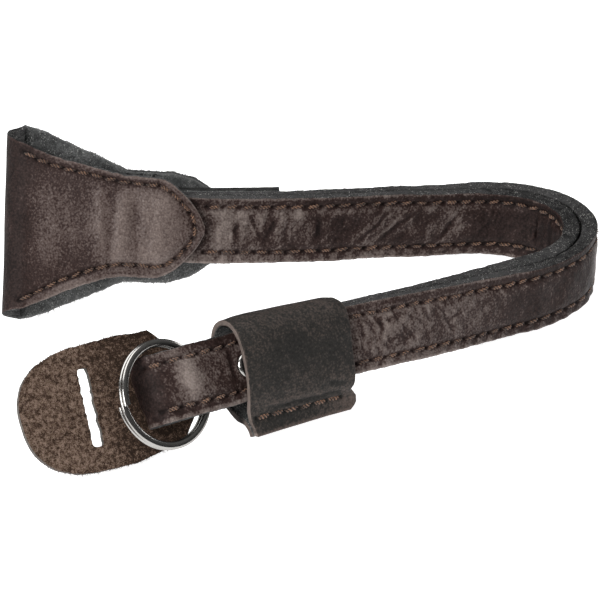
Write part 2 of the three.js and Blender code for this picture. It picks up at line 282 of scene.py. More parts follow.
class Route:
    """The line that the strap follows, with the frame that turns along it."""

    START = np.array([-65.3, 23.476, 0.105])
    START_HEADING = 5.5
    LENGTH = 300.0
    STEP = 0.5
    TURNS = (Turn(25, 85, 16.5), Turn(100, 165, -163), Turn(180, 235, -10))
    STATION_AT = np.array([0, 45, 80, 108, 134, 160, 185, 205, 226, 250, 268], float)
    STATION_LEAN = np.array([29, 13, 8, 3, 2, 0, -8, -18, -22, -33, -38], float)
    STATION_HEIGHT = np.array([21.2, 17.2, 12.8, 8.7, 7.7, 7.8, 11, 13.6, 15.3, 15.7, 15.5])

    def __init__(self) -> None:
        """Walk the route once and keep a frame at each step."""
        at = np.arange(0.0, self.LENGTH + self.STEP, self.STEP)
        heading = self._heading(at)
        height = self._station(self.STATION_HEIGHT, at)
        rise = (self._station(self.STATION_HEIGHT, at + self.STEP) - height) / self.STEP
        level = np.sqrt(1 - rise**2)
        lean = np.radians(self._station(self.STATION_LEAN, at))
        nothing = np.zeros_like(at)
        self.along = np.stack([np.cos(heading) * level, np.sin(heading) * level, rise], axis=1)
        side = np.stack([-np.sin(heading), np.cos(heading), nothing], axis=1)
        up = np.stack([nothing, nothing, np.cos(lean)], axis=1) + side * np.sin(lean)[:, None]
        up -= self.along * np.sum(up * self.along, axis=1, keepdims=True)
        self.up = unit(up)
        self.out = np.cross(self.up, self.along)
        middle = self._heading(at + self.STEP / 2)
        step_x = np.cos(middle) * level * self.STEP
        step_y = np.sin(middle) * level * self.STEP
        x = self.START[0] + np.concatenate([[0.0], np.cumsum(step_x)[:-1]])
        y = self.START[1] + np.concatenate([[0.0], np.cumsum(step_y)[:-1]])
        self.point = np.stack([x, y, self.START[2] + height], axis=1)

    def _heading(self, at: Array) -> Array:
        """Heading of the route in radians."""
        turned = sum(turn.angle * ease(turn.start, turn.end, at) for turn in self.TURNS)
        return np.radians(self.START_HEADING + turned)

    def _station(self, column: Array, at: Array) -> Array:
        """Value of a station column, with a smooth slope from one row to the next."""
        marks = self.STATION_AT
        place = np.clip(at, marks[0], marks[-1])
        row = np.clip(np.searchsorted(marks, place) - 1, 0, len(marks) - 2)
        slope = np.diff(column) / np.diff(marks)
        slopes = np.concatenate([slope[:1], (slope[:-1] + slope[1:]) / 2, slope[-1:]])
        span = marks[row + 1] - marks[row]
        t = (place - marks[row]) / span
        start = column[row] * (1 + 2 * t) * (1 - t) ** 2 + slopes[row] * span * t * (1 - t) ** 2
        end = column[row + 1] * t * t * (3 - 2 * t) + slopes[row + 1] * span * t * t * (t - 1)
        return start + end

    def _blend(self, rows: Array, at: Array) -> Array:
        """Rows of the route between its steps."""
        index = np.clip(np.floor(at / self.STEP).astype(int), 0, len(rows) - 2)
        share = (at / self.STEP - index)[:, None]
        return rows[index] * (1 - share) + rows[index + 1] * share

    def place(self, at: Array, out: Array, up: Array) -> Array:
        """Points beside the route, in millimetres.

        Args:
            at: Lengths along the route.
            out: Distances to the outer side of the U.
            up: Distances across the strap.

        Returns:
            Rows of three coordinates.
        """
        across = self._blend(self.up, at) * up[:, None]
        return self._blend(self.point, at) + self._blend(self.out, at) * out[:, None] + across

    def basis(self, at: float, out: float, up: float) -> Matrix:
        """Place on the route in metres: X along it, Y across it and Z to its inner side."""
        one = np.array([at])
        point = self.place(one, np.array([out]), np.array([up]))[0] * MM
        columns = [self._blend(rows, one)[0] for rows in (self.along, self.up, -self.out)]
        matrix = Matrix.Identity(4)
        for k, column in enumerate(columns):
            matrix.col[k][:3] = column
        matrix.col[3][:3] = point
        return matrix


class BentPath:
    """A strip's middle line in the plane of "at" and "out", measured along itself."""

    def __init__(self, points: Array, start: float) -> None:
        """Measure a line.

        Args:
            points: Rows of "at" and "out".
            start: Length that the first point is given.
        """
        steps = np.diff(points, axis=0)
        self.points = points
        self.marks = start + np.concatenate([[0.0], np.cumsum(np.hypot(steps[:, 0], steps[:, 1]))])
        tangent = unit(np.gradient(points, self.marks, axis=0))
        self.normals = np.stack([-tangent[:, 1], tangent[:, 0]], axis=1)

    @property
    def end(self) -> float:
        """Length at the last point."""
        return float(self.marks[-1])

    def locate(self, length: Array, through: Array) -> Pair:
        """Points at lengths along the line and distances to its left, as "at" and "out"."""
        at = np.interp(length, self.marks, self.points[:, 0])
        out = np.interp(length, self.marks, self.points[:, 1])
        at_normal = np.interp(length, self.marks, self.normals[:, 0])
        out_normal = np.interp(length, self.marks, self.normals[:, 1])
        size = np.hypot(at_normal, out_normal)
        return at + at_normal / size * through, out + out_normal / size * through


@dataclass(frozen=True)
class Cloud:
    """A noise pattern: the size of its cells in millimetres, its detail and its roughness."""

    size: float
    detail: float = 2.0
    rough: float = 0.5


@dataclass(frozen=True)
class Relief:
    """A bump's depth in millimetres and its strength."""

    depth: float
    strength: float


class Shader:
    """A material whose nodes are added and joined one at a time."""

    RANGE = ("Value", "From Min", "From Max", "To Min", "To Max")
    MIX_SHARE = 0
    MIX_FIRST = 6
    MIX_SECOND = 7
    MIXED = 2

    def __init__(self, name: str) -> None:
        """Start a material with one surface shader."""
        self.material = bpy.data.materials.new(name)
        self.material.use_nodes = True
        self.tree = self.material.node_tree
        self.surface = self.tree.nodes["Principled BSDF"]
        self.place = self.add("ShaderNodeTexCoord", {}).outputs["Object"]

    def add(self, kind: str, inputs: dict[str | int, object], **settings: object) -> bpy.types.Node:
        """Add a node, set its properties and give its sockets their values."""
        node = self.tree.nodes.new(kind)
        for key, value in settings.items():
            setattr(node, key, value)
        for key, value in inputs.items():
            if value is not None:
                self.feed(node.inputs[key], value)
        return node

    def feed(self, socket: SOCKET, value: object) -> None:
        """Give a socket its value."""
        if isinstance(value, SOCKET):
            self.tree.links.new(value, socket)
        elif isinstance(value, tuple) and len(value) == 3 and socket.type == "RGBA":
            socket.default_value = (*value, 1.0)
        else:
            socket.default_value = value

    def set(self, **values: object) -> None:
        """Set sockets of the surface, named with _ for a space."""
        for name, value in values.items():
            self.feed(self.surface.inputs[name.replace("_", " ")], value)

    def stretched(self, scale: Triple) -> SOCKET:
        """Object coordinates with each axis multiplied."""
        return self.add("ShaderNodeMapping", {"Vector": self.place, "Scale": scale}).outputs["Vector"]

    def noise(self, cloud: Cloud, place: SOCKET | None = None) -> SOCKET:
        """Noise over the piece, from 0 to 1 and about 0.5 on the whole."""
        inputs = {"Vector": place or self.place, "Scale": 1 / (cloud.size * MM)}
        inputs |= {"Detail": cloud.detail, "Roughness": cloud.rough}
        return self.add("ShaderNodeTexNoise", inputs).outputs["Fac"]

    def cells(self, size: float) -> SOCKET:
        """Distance from the middle of rounded cells, whose size is in millimetres."""
        inputs = {"Vector": self.place, "Scale": 1 / (size * MM)}
        return self.add("ShaderNodeTexVoronoi", inputs, feature="SMOOTH_F1").outputs["Distance"]

    def attribute(self, name: str) -> SOCKET:
        """A number that the mesh carries at its corners."""
        return self.add("ShaderNodeAttribute", {}, attribute_name=name).outputs["Fac"]

    def math(self, operation: str, *numbers: object) -> SOCKET:
        """Arithmetic on two or three numbers or outputs."""
        return self.add("ShaderNodeMath", dict(enumerate(numbers)), operation=operation).outputs["Value"]

    def remap(self, value: SOCKET, span: Span, to: Span = (0.0, 1.0)) -> SOCKET:
        """A number moved from one range to another, and held inside it."""
        return self.add("ShaderNodeMapRange", dict(zip(self.RANGE, (value, *span, *to)))).outputs["Result"]

    def mix(self, first: object, second: object, share: object) -> SOCKET:
        """Colour that lies at a share of the way from the first to the second."""
        inputs = {self.MIX_SHARE: share, self.MIX_FIRST: first, self.MIX_SECOND: second}
        return self.add("ShaderNodeMix", inputs, data_type="RGBA").outputs[self.MIXED]

    def emboss(self, height: SOCKET, relief: Relief, under: SOCKET | None = None) -> SOCKET:
        """Normal of a surface that a pattern is raised on, over another bump if there is one."""
        inputs = {"Height": height, "Normal": under}
        inputs |= {"Distance": relief.depth * MM, "Strength": relief.strength}
        return self.add("ShaderNodeBump", inputs).outputs["Normal"]


@dataclass(frozen=True)
class GrainLeather:
    """Grain side of the leather: pebbled, paler where it is rubbed, with painted shade in its creases and
    painted highlights on its ridges and rims.

    The mesh carries a tone, which is 0 at the middle colour and holds that painted light and shade as well as
    mottling, and each pattern moves it by its amount.
    """

    name: str
    dark: Triple
    middle: Triple
    pale: Triple
    rough: float
    shine: float
    pebble: float
    wrinkles: float
    pebble_depth: float = 0.12
    mottle: float = 4.0
    contrast: float = 1.0
    dull: float = 0.1
    upright: float = 1.0
    lines: float = 0.0

    FINE = Cloud(1.1, 3.0, 0.65)
    GRAIN = Cloud(0.42, 2.0, 0.6)
    RUBS = Cloud(1.5, 2.0, 0.55)
    DENTS = Cloud(2.2)
    MOTTLE_DETAIL = 3.0
    MOTTLE_ROUGH = 0.6
    MOTTLE_AMOUNT = 0.15
    GRAIN_AMOUNT = 0.55
    PEBBLE_AMOUNT = 0.36
    NOISE_SPAN = (0.25, 0.75)
    PEBBLE_SPAN = (0.7, 0.1)
    RUBS_SPAN = (0.56, 0.66)
    PALE_TONES = (-0.1, 1.8)
    DARK_TONES = (0.1, -1.3)
    GLOSS_TONES = (-1.0, 1.0)
    POLISH = 0.08
    DENT_RELIEF = Relief(0.4, 0.5)
    FINE_RELIEF = Relief(0.34, 0.7)
    GRAIN_RELIEF = Relief(0.1, 0.6)
    PEBBLE_STRENGTH = 0.7

    def make(self) -> Material:
        """Build the material from its colours and sizes."""
        shader = Shader(self.name)
        along = shader.stretched((1.0, 1.0, self.upright))
        broad = shader.noise(Cloud(self.mottle, self.MOTTLE_DETAIL, self.MOTTLE_ROUGH))
        fine = shader.noise(self.FINE, along)
        grain = shader.noise(self.GRAIN)
        pebbles = shader.cells(self.pebble)
        patterns = (
            (broad, self.NOISE_SPAN, self.MOTTLE_AMOUNT),
            (fine, self.NOISE_SPAN, self.wrinkles),
            (grain, self.NOISE_SPAN, self.GRAIN_AMOUNT),
            (pebbles, self.PEBBLE_SPAN, self.PEBBLE_AMOUNT),
        )
        tone = shader.attribute("tone")
        for pattern, span, amount in patterns:
            reach = amount * self.contrast
            tone = shader.math("ADD", tone, shader.remap(pattern, span, (-reach, reach)))
        rubbed = shader.remap(shader.noise(self.RUBS, along), self.RUBS_SPAN, (0.0, self.lines))
        tone = shader.math("ADD", tone, rubbed)
        colour = shader.mix(self.middle, self.pale, shader.remap(tone, self.PALE_TONES))
        colour = shader.mix(colour, self.dark, shader.remap(tone, self.DARK_TONES))
        shader.set(Base_Color=colour, Specular_IOR_Level=self.shine)
        gloss = (self.rough + self.dull, self.rough - self.POLISH)
        shader.set(Roughness=shader.remap(tone, self.GLOSS_TONES, gloss))
        normal = shader.emboss(shader.noise(self.DENTS), self.DENT_RELIEF)
        normal = shader.emboss(fine, self.FINE_RELIEF, normal)
        normal = shader.emboss(grain, self.GRAIN_RELIEF, normal)
        shader.set(Normal=shader.emboss(pebbles, Relief(self.pebble_depth, self.PEBBLE_STRENGTH), normal))
        return shader.material


@dataclass(frozen=True)
class FleshLeather:
    """Flesh side or cut edge of the leather: rough, nearly black, with pale fibre ends."""

    name: str
    dark: Triple
    middle: Triple
    fibre: Triple
    speck: float
    bare: float = 0.64

    SHADOW = (0.004, 0.004, 0.004)
    ROUGH = 0.85
    SHINE = 0.1
    NAP = Cloud(0.35, 4.0, 0.7)
    CLUMPS = Cloud(1.4, 3.0, 0.6)
    SPECKS = Cloud(0.3, 1.0)
    SPECKLED = Cloud(2.6)
    NAP_SPAN = (0.55, 0.3)
    CLUMP_SPAN = (0.3, 0.7)
    SPECK_EDGE = 0.1
    SPECKLED_SPAN = (0.36, 0.56)
    PALE_TONES = (0.0, 1.0)
    DARK_TONES = (0.0, -1.0)
    CLUMP_RELIEF = Relief(0.3, 0.6)
    NAP_RELIEF = Relief(0.25, 0.8)

    def make(self) -> Material:
        """Build the material from its colours and sizes."""
        shader = Shader(self.name)
        tone = shader.attribute("tone")
        nap = shader.noise(self.NAP)
        clumps = shader.noise(self.CLUMPS)
        colour = shader.mix(self.dark, self.middle, shader.remap(clumps, self.CLUMP_SPAN))
        colour = shader.mix(colour, self.dark, shader.remap(nap, self.NAP_SPAN))
        colour = shader.mix(colour, self.middle, shader.remap(tone, self.PALE_TONES))
        colour = shader.mix(colour, self.SHADOW, shader.remap(tone, self.DARK_TONES))
        specks = shader.remap(shader.noise(self.SPECKS), (self.bare, self.bare + self.SPECK_EDGE))
        specks = shader.math("MULTIPLY", specks, self.speck)
        speckled = shader.remap(shader.noise(self.SPECKLED), self.SPECKLED_SPAN)
        specks = shader.math("MULTIPLY", specks, speckled)
        shader.set(Base_Color=shader.mix(colour, self.fibre, specks))
        shader.set(Roughness=self.ROUGH, Specular_IOR_Level=self.SHINE)
        normal = shader.emboss(clumps, self.CLUMP_RELIEF)
        shader.set(Normal=shader.emboss(nap, self.NAP_RELIEF, normal))
        return shader.material


@dataclass(frozen=True)
class Suede:
    """Napped face of the slotted tab: a short brown nap in paler and darker strokes."""

    name: str
    dark: Triple
    middle: Triple
    pale: Triple

    ROUGH = 0.95
    SHINE = 0.1
    STROKES = Cloud(0.95, 4.0, 0.75)
    PATCHES = Cloud(7.0)
    NAP = Cloud(0.26, 3.0, 0.75)
    NOISE_SPAN = (0.3, 0.7)
    STROKE_SHARES = (0.22, 0.78)
    PATCH_SHARES = (-0.04, 0.04)
    NAP_SHARES = (-0.24, 0.24)
    TONE_SHARE = 0.1
    MIDDLE_SHARES = (0.34, 0.5)
    PALE_SHARES = (0.5, 0.72)
    STROKE_RELIEF = Relief(0.5, 0.7)
    NAP_RELIEF = Relief(0.3, 0.8)

    def make(self) -> Material:
        """Build the material from its colours."""
        shader = Shader(self.name)
        strokes = shader.noise(self.STROKES)
        patches = shader.noise(self.PATCHES)
        nap = shader.noise(self.NAP)
        stroked = shader.remap(strokes, self.NOISE_SPAN, self.STROKE_SHARES)
        share = shader.math("MULTIPLY_ADD", shader.attribute("tone"), self.TONE_SHARE, stroked)
        share = shader.math("ADD", share, shader.remap(patches, self.NOISE_SPAN, self.PATCH_SHARES))
        share = shader.math("ADD", share, shader.remap(nap, self.NOISE_SPAN, self.NAP_SHARES))
        colour = shader.mix(self.dark, self.middle, shader.remap(share, self.MIDDLE_SHARES))
        colour = shader.mix(colour, self.pale, shader.remap(share, self.PALE_SHARES))
        shader.set(Base_Color=colour, Roughness=self.ROUGH, Specular_IOR_Level=self.SHINE)
        normal = shader.emboss(strokes, self.STROKE_RELIEF)
        shader.set(Normal=shader.emboss(nap, self.NAP_RELIEF, normal))
        return shader.material


@dataclass(frozen=True)
class PlatedSteel:
    """Polished nickel plate with fine scratches."""

    name: str
    metal: Triple
    dull: Triple

    METALLIC = 1.0
    SCRATCHES = Cloud(0.5, 3.0, 0.6)
    SCRATCH_STRETCH = (1.0, 1.0, 5.0)
    SCRATCH_SPAN = (0.3, 0.8)
    SCRATCH_ROUGH = (0.1, 0.26)
    SCRATCH_RELIEF = Relief(0.02, 0.3)
    DULLED = Cloud(3.0)
    DULL_SPAN = (0.5, 0.75)

    def make(self) -> Material:
        """Build the material from its colours."""
        shader = Shader(self.name)
        scratches = shader.noise(self.SCRATCHES, shader.stretched(self.SCRATCH_STRETCH))
        dulled = shader.remap(shader.noise(self.DULLED), self.DULL_SPAN)
        shader.set(Base_Color=shader.mix(self.metal, self.dull, dulled), Metallic=self.METALLIC)
        shader.set(Roughness=shader.remap(scratches, self.SCRATCH_SPAN, self.SCRATCH_ROUGH))
        shader.set(Normal=shader.emboss(scratches, self.SCRATCH_RELIEF))
        return shader.material


@dataclass(frozen=True)
class SewingThread:
    """Twisted brown sewing thread."""

    name: str
    dark: Triple
    pale: Triple

    ROUGH = 0.7
    SHEEN = 0.1
    PLIES = Cloud(0.35, 3.0, 0.7)
    LOTS = Cloud(7.0, 1.0)
    LOT_SPAN = (0.35, 0.65)
    LOT_SHARES = (-0.05, 0.05)
    PALE_SHARES = (0.42, 0.72)
    PLY_RELIEF = Relief(0.1, 0.6)

    def make(self) -> Material:
        """Build the material from its colours."""
        shader = Shader(self.name)
        plies = shader.noise(self.PLIES)
        lots = shader.remap(shader.noise(self.LOTS), self.LOT_SPAN, self.LOT_SHARES)
        share = shader.math("ADD", plies, lots)
        share = shader.math("ADD", share, shader.attribute("tone"))
        shader.set(Base_Color=shader.mix(self.dark, self.pale, shader.remap(share, self.PALE_SHARES)))
        shader.set(Roughness=self.ROUGH, Sheen_Weight=self.SHEEN)
        shader.set(Normal=shader.emboss(plies, self.PLY_RELIEF))
        return shader.material


class Finishes:
    """Every material of the strap, made once. Its colours go from dark to pale."""

    DARK_BROWN = (0.0075, 0.0042, 0.0037)
    BLACK = (0.0045, 0.0045, 0.0045)

    def __init__(self) -> None:
        """Make the materials."""
        self._make_grain_sides()
        self._make_flesh_sides()
        self.suede = Suede(
            "tab_suede", (0.02, 0.012, 0.008), (0.075, 0.047, 0.033), (0.19, 0.135, 0.104)
        ).make()
        self.steel = PlatedSteel("nickel_steel", metal=(0.34, 0.33, 0.315), dull=(0.3, 0.29, 0.27)).make()
        self.thread = SewingThread("brown_thread", (0.02, 0.0095, 0.005), (0.24, 0.124, 0.073)).make()

    def _make_grain_sides(self) -> None:
        """Make the grain leathers of the flared end, the strap and the keeper."""
        self.end = GrainLeather(
            "end_grain", self.DARK_BROWN, (0.031, 0.0172, 0.0148), (0.175, 0.138, 0.124), rough=0.42,
            shine=0.16, pebble=0.45, contrast=0.95, dull=0.3, upright=0.6, wrinkles=0.2, lines=0.15,
        ).make()
        self.strap = GrainLeather(
            "strap_grain", self.DARK_BROWN, (0.031, 0.0184, 0.0162), (0.2, 0.165, 0.149), rough=0.46,
            shine=0.09, pebble=0.5, upright=0.4, wrinkles=0.27, lines=0.28,
        ).make()
        self.keeper = GrainLeather(
            "keeper_grain", (0.008, 0.0078, 0.0074), (0.021, 0.019, 0.0172), (0.095, 0.07, 0.06), rough=0.6,
            shine=0.12, pebble=0.5, pebble_depth=0.06, mottle=7.0, contrast=1.05, wrinkles=0.2,
        ).make()

    def _make_flesh_sides(self) -> None:
        """Make the flesh sides and the cut edges."""
        self.flesh = FleshLeather(
            "black_flesh", (0.042, 0.043, 0.043), (0.15, 0.152, 0.15), (0.42, 0.42, 0.4), speck=0.8, bare=0.61
        ).make()
        self.edge = FleshLeather(
            "cut_edge", self.BLACK, (0.05, 0.049, 0.049), (0.36, 0.35, 0.33), speck=0.8, bare=0.62
        ).make()
        self.tan = FleshLeather(
            "tan_edge", (0.06, 0.046, 0.04), (0.17, 0.136, 0.12), (0.34, 0.29, 0.26), speck=0.3
        ).make()
        self.tongue = FleshLeather(
            "tongue_black", self.BLACK, (0.04, 0.04, 0.0385), (0.16, 0.16, 0.15), speck=0.3
        ).make()
        self.grey = FleshLeather(
            "tab_edge", (0.05, 0.045, 0.041), (0.15, 0.137, 0.126), (0.4, 0.38, 0.35), speck=0.3
        ).make()


@dataclass(frozen=True)
class Wave:
    """Uneven places all over a flat piece: how strong they are, and how long and wide one is.

    The number tells one pattern of a piece from another, and the slant turns the pattern.
    """

    amount: float
    cell: Span
    number: int = 0
    slant: float = 0.0

    def over(self, at: Array, up: Array, seed: int) -> Array:
        """Value at flat places.

        Args:
            at: Places along the piece.
            up: Places across the piece.
            seed: The piece's own number.

        Returns:
            One value for each place.
        """
        along = at + self.slant * up
        across = up - self.slant * at
        return self.amount * flat_noise(along, across, self.cell, seed + self.number)

    def edge(self, at: Array, seed: int) -> Array:
        """Value along an edge of a piece."""
        return self.over(at, np.zeros_like(at), seed)


@dataclass(frozen=True)
class Crease:
    """A pressed line in the leather, with a slightly raised side."""

    line: tuple[Spot, ...]
    depth: float
    width: float

    STRAY = 0.45
    STRAY_CELL = (1.6, 1.6)
    SEEDS_PER_MM = 10
    LEAST = 0.15
    SIDE = 0.4
    SIDE_AT = 2.2
    SIDE_WIDTH = 1.3

    def press(self, at: Array, up: Array) -> Array:
        """Press the crease into a flat piece."""
        seed = round(self.SEEDS_PER_MM * self.line[0][0])
        stray = self.STRAY * flat_noise(at, up, self.STRAY_CELL, seed)
        line = np.array(self.line, float)
        gap, along = line_distance(at + stray, up, line)
        full = float(np.sum(np.hypot(*np.diff(line, axis=0).T)))
        fade = np.sqrt(np.clip(np.sin(math.pi * np.clip(along / full, 0.0, 1.0)), 0.0, 1.0))
        side = self.SIDE * bump(gap, self.SIDE_AT * self.width, self.SIDE_WIDTH * self.width)
        return self.depth * np.maximum(fade, self.LEAST) * (side - bump(gap, 0.0, self.width))


@dataclass(frozen=True)
class CreasedStretch:
    """A stretch of leather with many fine creases that run one way."""

    at: float
    long: float
    slant: float
    cell: Span
    depth: float
    tone: float
    seed: int
    sharp: int = 5

    HALF = 5.0
    FADE = 1.2
    LEVEL = 1.5
    STRAY = Wave(0.9, (3.0, 3.0), 1)

    def press(self, at: Array, up: Array) -> Pair:
        """Press the creases into a flat piece."""
        turn = math.radians(self.slant)
        along = at * math.cos(turn) + up * math.sin(turn)
        across = up * math.cos(turn) - at * math.sin(turn) + self.STRAY.over(at, up, self.seed)
        ridge = 1 - np.abs(flat_noise(along, across, self.cell, self.seed))
        line = ridge**self.sharp - self.LEVEL / self.sharp
        share = bump(at, self.at, self.long) * ease(self.HALF, self.HALF - self.FADE, np.abs(up))
        # Where depth and tone are over 0 the tone paints shade into the creases; where both are below 0 it
        # paints highlights on the raised lines.
        return -self.depth * line * share, -self.tone * line * share


@dataclass(frozen=True)
class Patch:
    """A soft oval place with a height in millimetres and a change of tone."""

    at: float
    up: float
    long: float
    wide: float
    height: float = 0.0
    tone: float = 0.0
    lean: float = 0.0

    def share(self, at: Array, up: Array) -> Array:
        """Bell curve over the patch."""
        return bump(at + self.lean * up, self.at, self.long) * bump(up, self.up, self.wide)


class Seam:
    """A row of stitches over a flat piece."""

    PITCH = 3.7
    MIDDLE = 0.5
    HEAD = 0.75
    GROOVE = 0.28
    GROOVE_WIDTH = 0.75
    SHADE = 0.35
    SHADE_WIDTH = 0.6
    HOLE = 0.5
    HOLE_LONG = 0.45
    HOLE_WIDE = 0.36
    HOLE_SHADE = 1.3
    HOLE_REACH = 3

    def __init__(self, line: Array, pitch: float = PITCH, groove: float = GROOVE) -> None:
        """Share a line out in stitches.

        Args:
            line: Corners of the row as rows of two numbers.
            pitch: Length of a stitch with its hole.
            groove: Depth of the groove that the thread pulls.
        """
        self.line = np.array(line, float)
        self.groove = groove
        steps = np.diff(self.line, axis=0)
        marks = np.concatenate([[0.0], np.cumsum(np.hypot(steps[:, 0], steps[:, 1]))])
        count = max(1, round(marks[-1] / pitch))
        step = marks[-1] / count
        self.stitches = self._spots(marks, (np.arange(count) + self.MIDDLE) * step)
        self.holes = self._spots(marks, np.arange(count + 1) * step)
        self.heads = self._spots(marks, (np.arange(count) + self.HEAD) * step)

    def _spots(self, marks: Array, lengths: Array) -> Array:
        """Flat places at lengths along the row."""
        return np.stack([np.interp(lengths, marks, self.line[:, k]) for k in range(2)], axis=1)

    def press(self, at: Array, up: Array) -> Pair:
        """Pull the row into a flat piece."""
        gap, _ = line_distance(at, up, self.line)
        height = -self.groove * bump(gap, 0.0, self.GROOVE_WIDTH)
        tone = -self.SHADE * bump(gap, 0.0, self.SHADE_WIDTH)
        near = np.flatnonzero(gap < self.HOLE_REACH * self.HOLE_LONG)
        pit = np.zeros(len(near))
        for hole in self.holes:
            long = (at[near] - hole[0]) / self.HOLE_LONG
            wide = (up[near] - hole[1]) / self.HOLE_WIDE
            pit = np.maximum(pit, np.exp(-(long**2) - wide**2))
        height[near] -= self.HOLE * pit
        tone[near] -= self.HOLE_SHADE * pit
        return height, tone


@dataclass
class LeatherPiece:
    """A leather piece that is cut flat, given its wall and bent to its place."""

    route: Route
    finishes: Finishes
    name: str = ""
    node: str = ""
    slot: str = ""
    wall: float = 2.8
    column: float = 0.5
    rounding: float = 0.45
    edge_rough: float = 0.12
    seed: int = 1
    grain: Side = Side.OVER
    seams: list[Seam] = field(default_factory=list)
    creases: tuple[Crease, ...] = ()
    stretches: tuple[CreasedStretch, ...] = ()
    patches: tuple[Patch, ...] = ()

    WALL_STEPS = 4
    SMOOTH_ANGLE = 55.0
    SHARP_ANGLE = 60.0
    ROUND_STEPS = 2
    FACING = 0.55
    FLESH = Wave(0.08, (1.3, 1.1), 40)
    CREASE_PAINTED_SHADE_AND_HIGHLIGHT = 0.9
    CREASE_SHARES = (-1.0, 0.5)
    EDGE_CELLS = (0.6, 1.9)
    EDGE_FLATNESS = (1.3, 1.0)
    EDGE_SHARES = (1.0, 0.8)
    EDGE_NUMBERS = (0, 3)
    EDGE_ACROSS = 0.2
    EDGE_REACH = 0.35

    def columns(self) -> Array:
        """Lengths of the piece's columns along its path."""
        raise NotImplementedError

    def rows(self) -> Array:
        """Shares of the width, from -1 to 1, of the piece's rows."""
        raise NotImplementedError

    def outline(self, length: Array) -> Pair:
        """Lower and upper edge of the flat piece."""
        raise NotImplementedError

    def bend(self, length: Array, up: Array, through: Array) -> Array:
        """Places of flat points on the finished object."""
        raise NotImplementedError

    def materials(self) -> Skins:
        """Materials of the grain side, the flesh side and the cut edge."""
        raise NotImplementedError

    def swell(self, length: Array, up: Array) -> Array:
        """Height of the grain side's own soft form."""
        return np.zeros_like(length)

    def flesh_swell(self, length: Array, up: Array) -> Array:
        """Height of the flesh side's own soft form."""
        return self.FLESH.over(length, up, self.seed)

    def shade(self, length: Array, up: Array) -> Array:
        """Tone of the piece: above 0 paler, below 0 darker."""
        return np.zeros_like(length)

    def uneven(self, waves: tuple[Wave, ...], length: Array, up: Array) -> Array:
        """Sum of some of the piece's waves."""
        return sum(wave.over(length, up, self.seed) for wave in waves)

    def grain_form(self, length: Array, up: Array) -> Pair:
        """Form and tone of the grain side, with its seams, creases and patches, whose tone paints shade and
        highlights.
        """
        height = self.swell(length, up)
        tone = self.shade(length, up)
        for pressing in (*self.seams, *self.stretches):
            pressed, shaded = pressing.press(length, up)
            height = height + pressed
            tone = tone + shaded
        for crease in self.creases:
            pressed = crease.press(length, up)
            height = height + pressed
            # Painted shade in the crease's groove and painted highlight on its raised side.
            tone = tone + self.CREASE_PAINTED_SHADE_AND_HIGHLIGHT * np.clip(pressed / crease.depth, *self.CREASE_SHARES)
        for patch in self.patches:
            share = patch.share(length, up)
            height = height + patch.height * share
            tone = tone + patch.tone * share
        return height, tone

    def surface(self, spots: Array, lift: float = 0.0) -> Array:
        """Points on the grain side of the finished piece.

        Args:
            spots: Flat places as rows of two numbers.
            lift: Height over the face.

        Returns:
            Rows of three coordinates in millimetres.
        """
        length, up = spots.T
        height = self.grain_form(length, up)[0]
        return self.bend(length, up, self.grain.value * (self.wall / 2 + height + lift))

    def _cut(self) -> Piece:
        """Cut the piece flat, with its columns and rows, and give it its wall."""
        columns = self.columns()
        rows = self.rows()
        last_column = len(columns) - 1
        last_row = len(rows) - 1
        deselect_all()
        bpy.ops.mesh.primitive_grid_add(x_subdivisions=last_column, y_subdivisions=last_row, size=2.0)
        piece = bpy.context.object
        piece.name = piece.data.name = self.name
        points = read_points(piece)
        column = np.rint((points[:, 0] + 1) / 2 * last_column).astype(int)
        row = np.rint((points[:, 1] + 1) / 2 * last_row).astype(int)
        length = columns[column]
        low, high = self.outline(length)
        points[:, 0] = length
        points[:, 1] = low + (high - low) * (rows[row] + 1) / 2
        points[:, 2] = -self.wall / 2
        write_points(piece, points * MM)
        bpy.ops.object.mode_set(mode="EDIT")
        bpy.ops.mesh.select_all(action="SELECT")
        for _ in range(self.WALL_STEPS):
            rise = (0.0, 0.0, self.wall * MM / self.WALL_STEPS)
            bpy.ops.mesh.extrude_region_move(TRANSFORM_OT_translate={"value": rise})
        bpy.ops.mesh.select_all(action="SELECT")
        bpy.ops.mesh.normals_make_consistent(inside=False)
        bpy.ops.object.mode_set(mode="OBJECT")
        sharp = math.radians(self.SHARP_ANGLE)
        width = self.rounding * MM
        apply_modifier(
            piece, "BEVEL", width=width, segments=self.ROUND_STEPS, limit_method="ANGLE", angle_limit=sharp
        )
        return piece

    def _mark(self, piece: Piece) -> None:
        """Give each face the material of its side, by its normal in the flat piece."""
        for material in self.materials():
            piece.data.materials.append(material)
        normals = np.empty(3 * len(piece.data.polygons))
        piece.data.polygons.foreach_get("normal", normals)
        facing = normals.reshape(-1, 3)[:, 2] * self.grain.value
        index = np.where(facing > self.FACING, 0, np.where(facing < -self.FACING, 1, 2)).astype(np.int32)
        piece.data.polygons.foreach_set("material_index", index)

    def _edge_form(self, length: Array, up: Array, through: Array) -> Array:
        """Fine and broad roughness of the cut edge.

        Args:
            length: Lengths along the piece's path.
            up: Places across the piece.
            through: Distances from the middle of its wall.

        Returns:
            Distance in millimetres that each place stands out.
        """
        rough = np.zeros_like(length)
        rows = zip(self.EDGE_CELLS, self.EDGE_FLATNESS, self.EDGE_SHARES, self.EDGE_NUMBERS)
        for cell, flatness, share, number in rows:
            places = np.stack([length, through * flatness, up * self.EDGE_ACROSS], axis=1) / cell
            rough += share * self.edge_rough * lattice_noise(places, self.seed + number)
        return rough

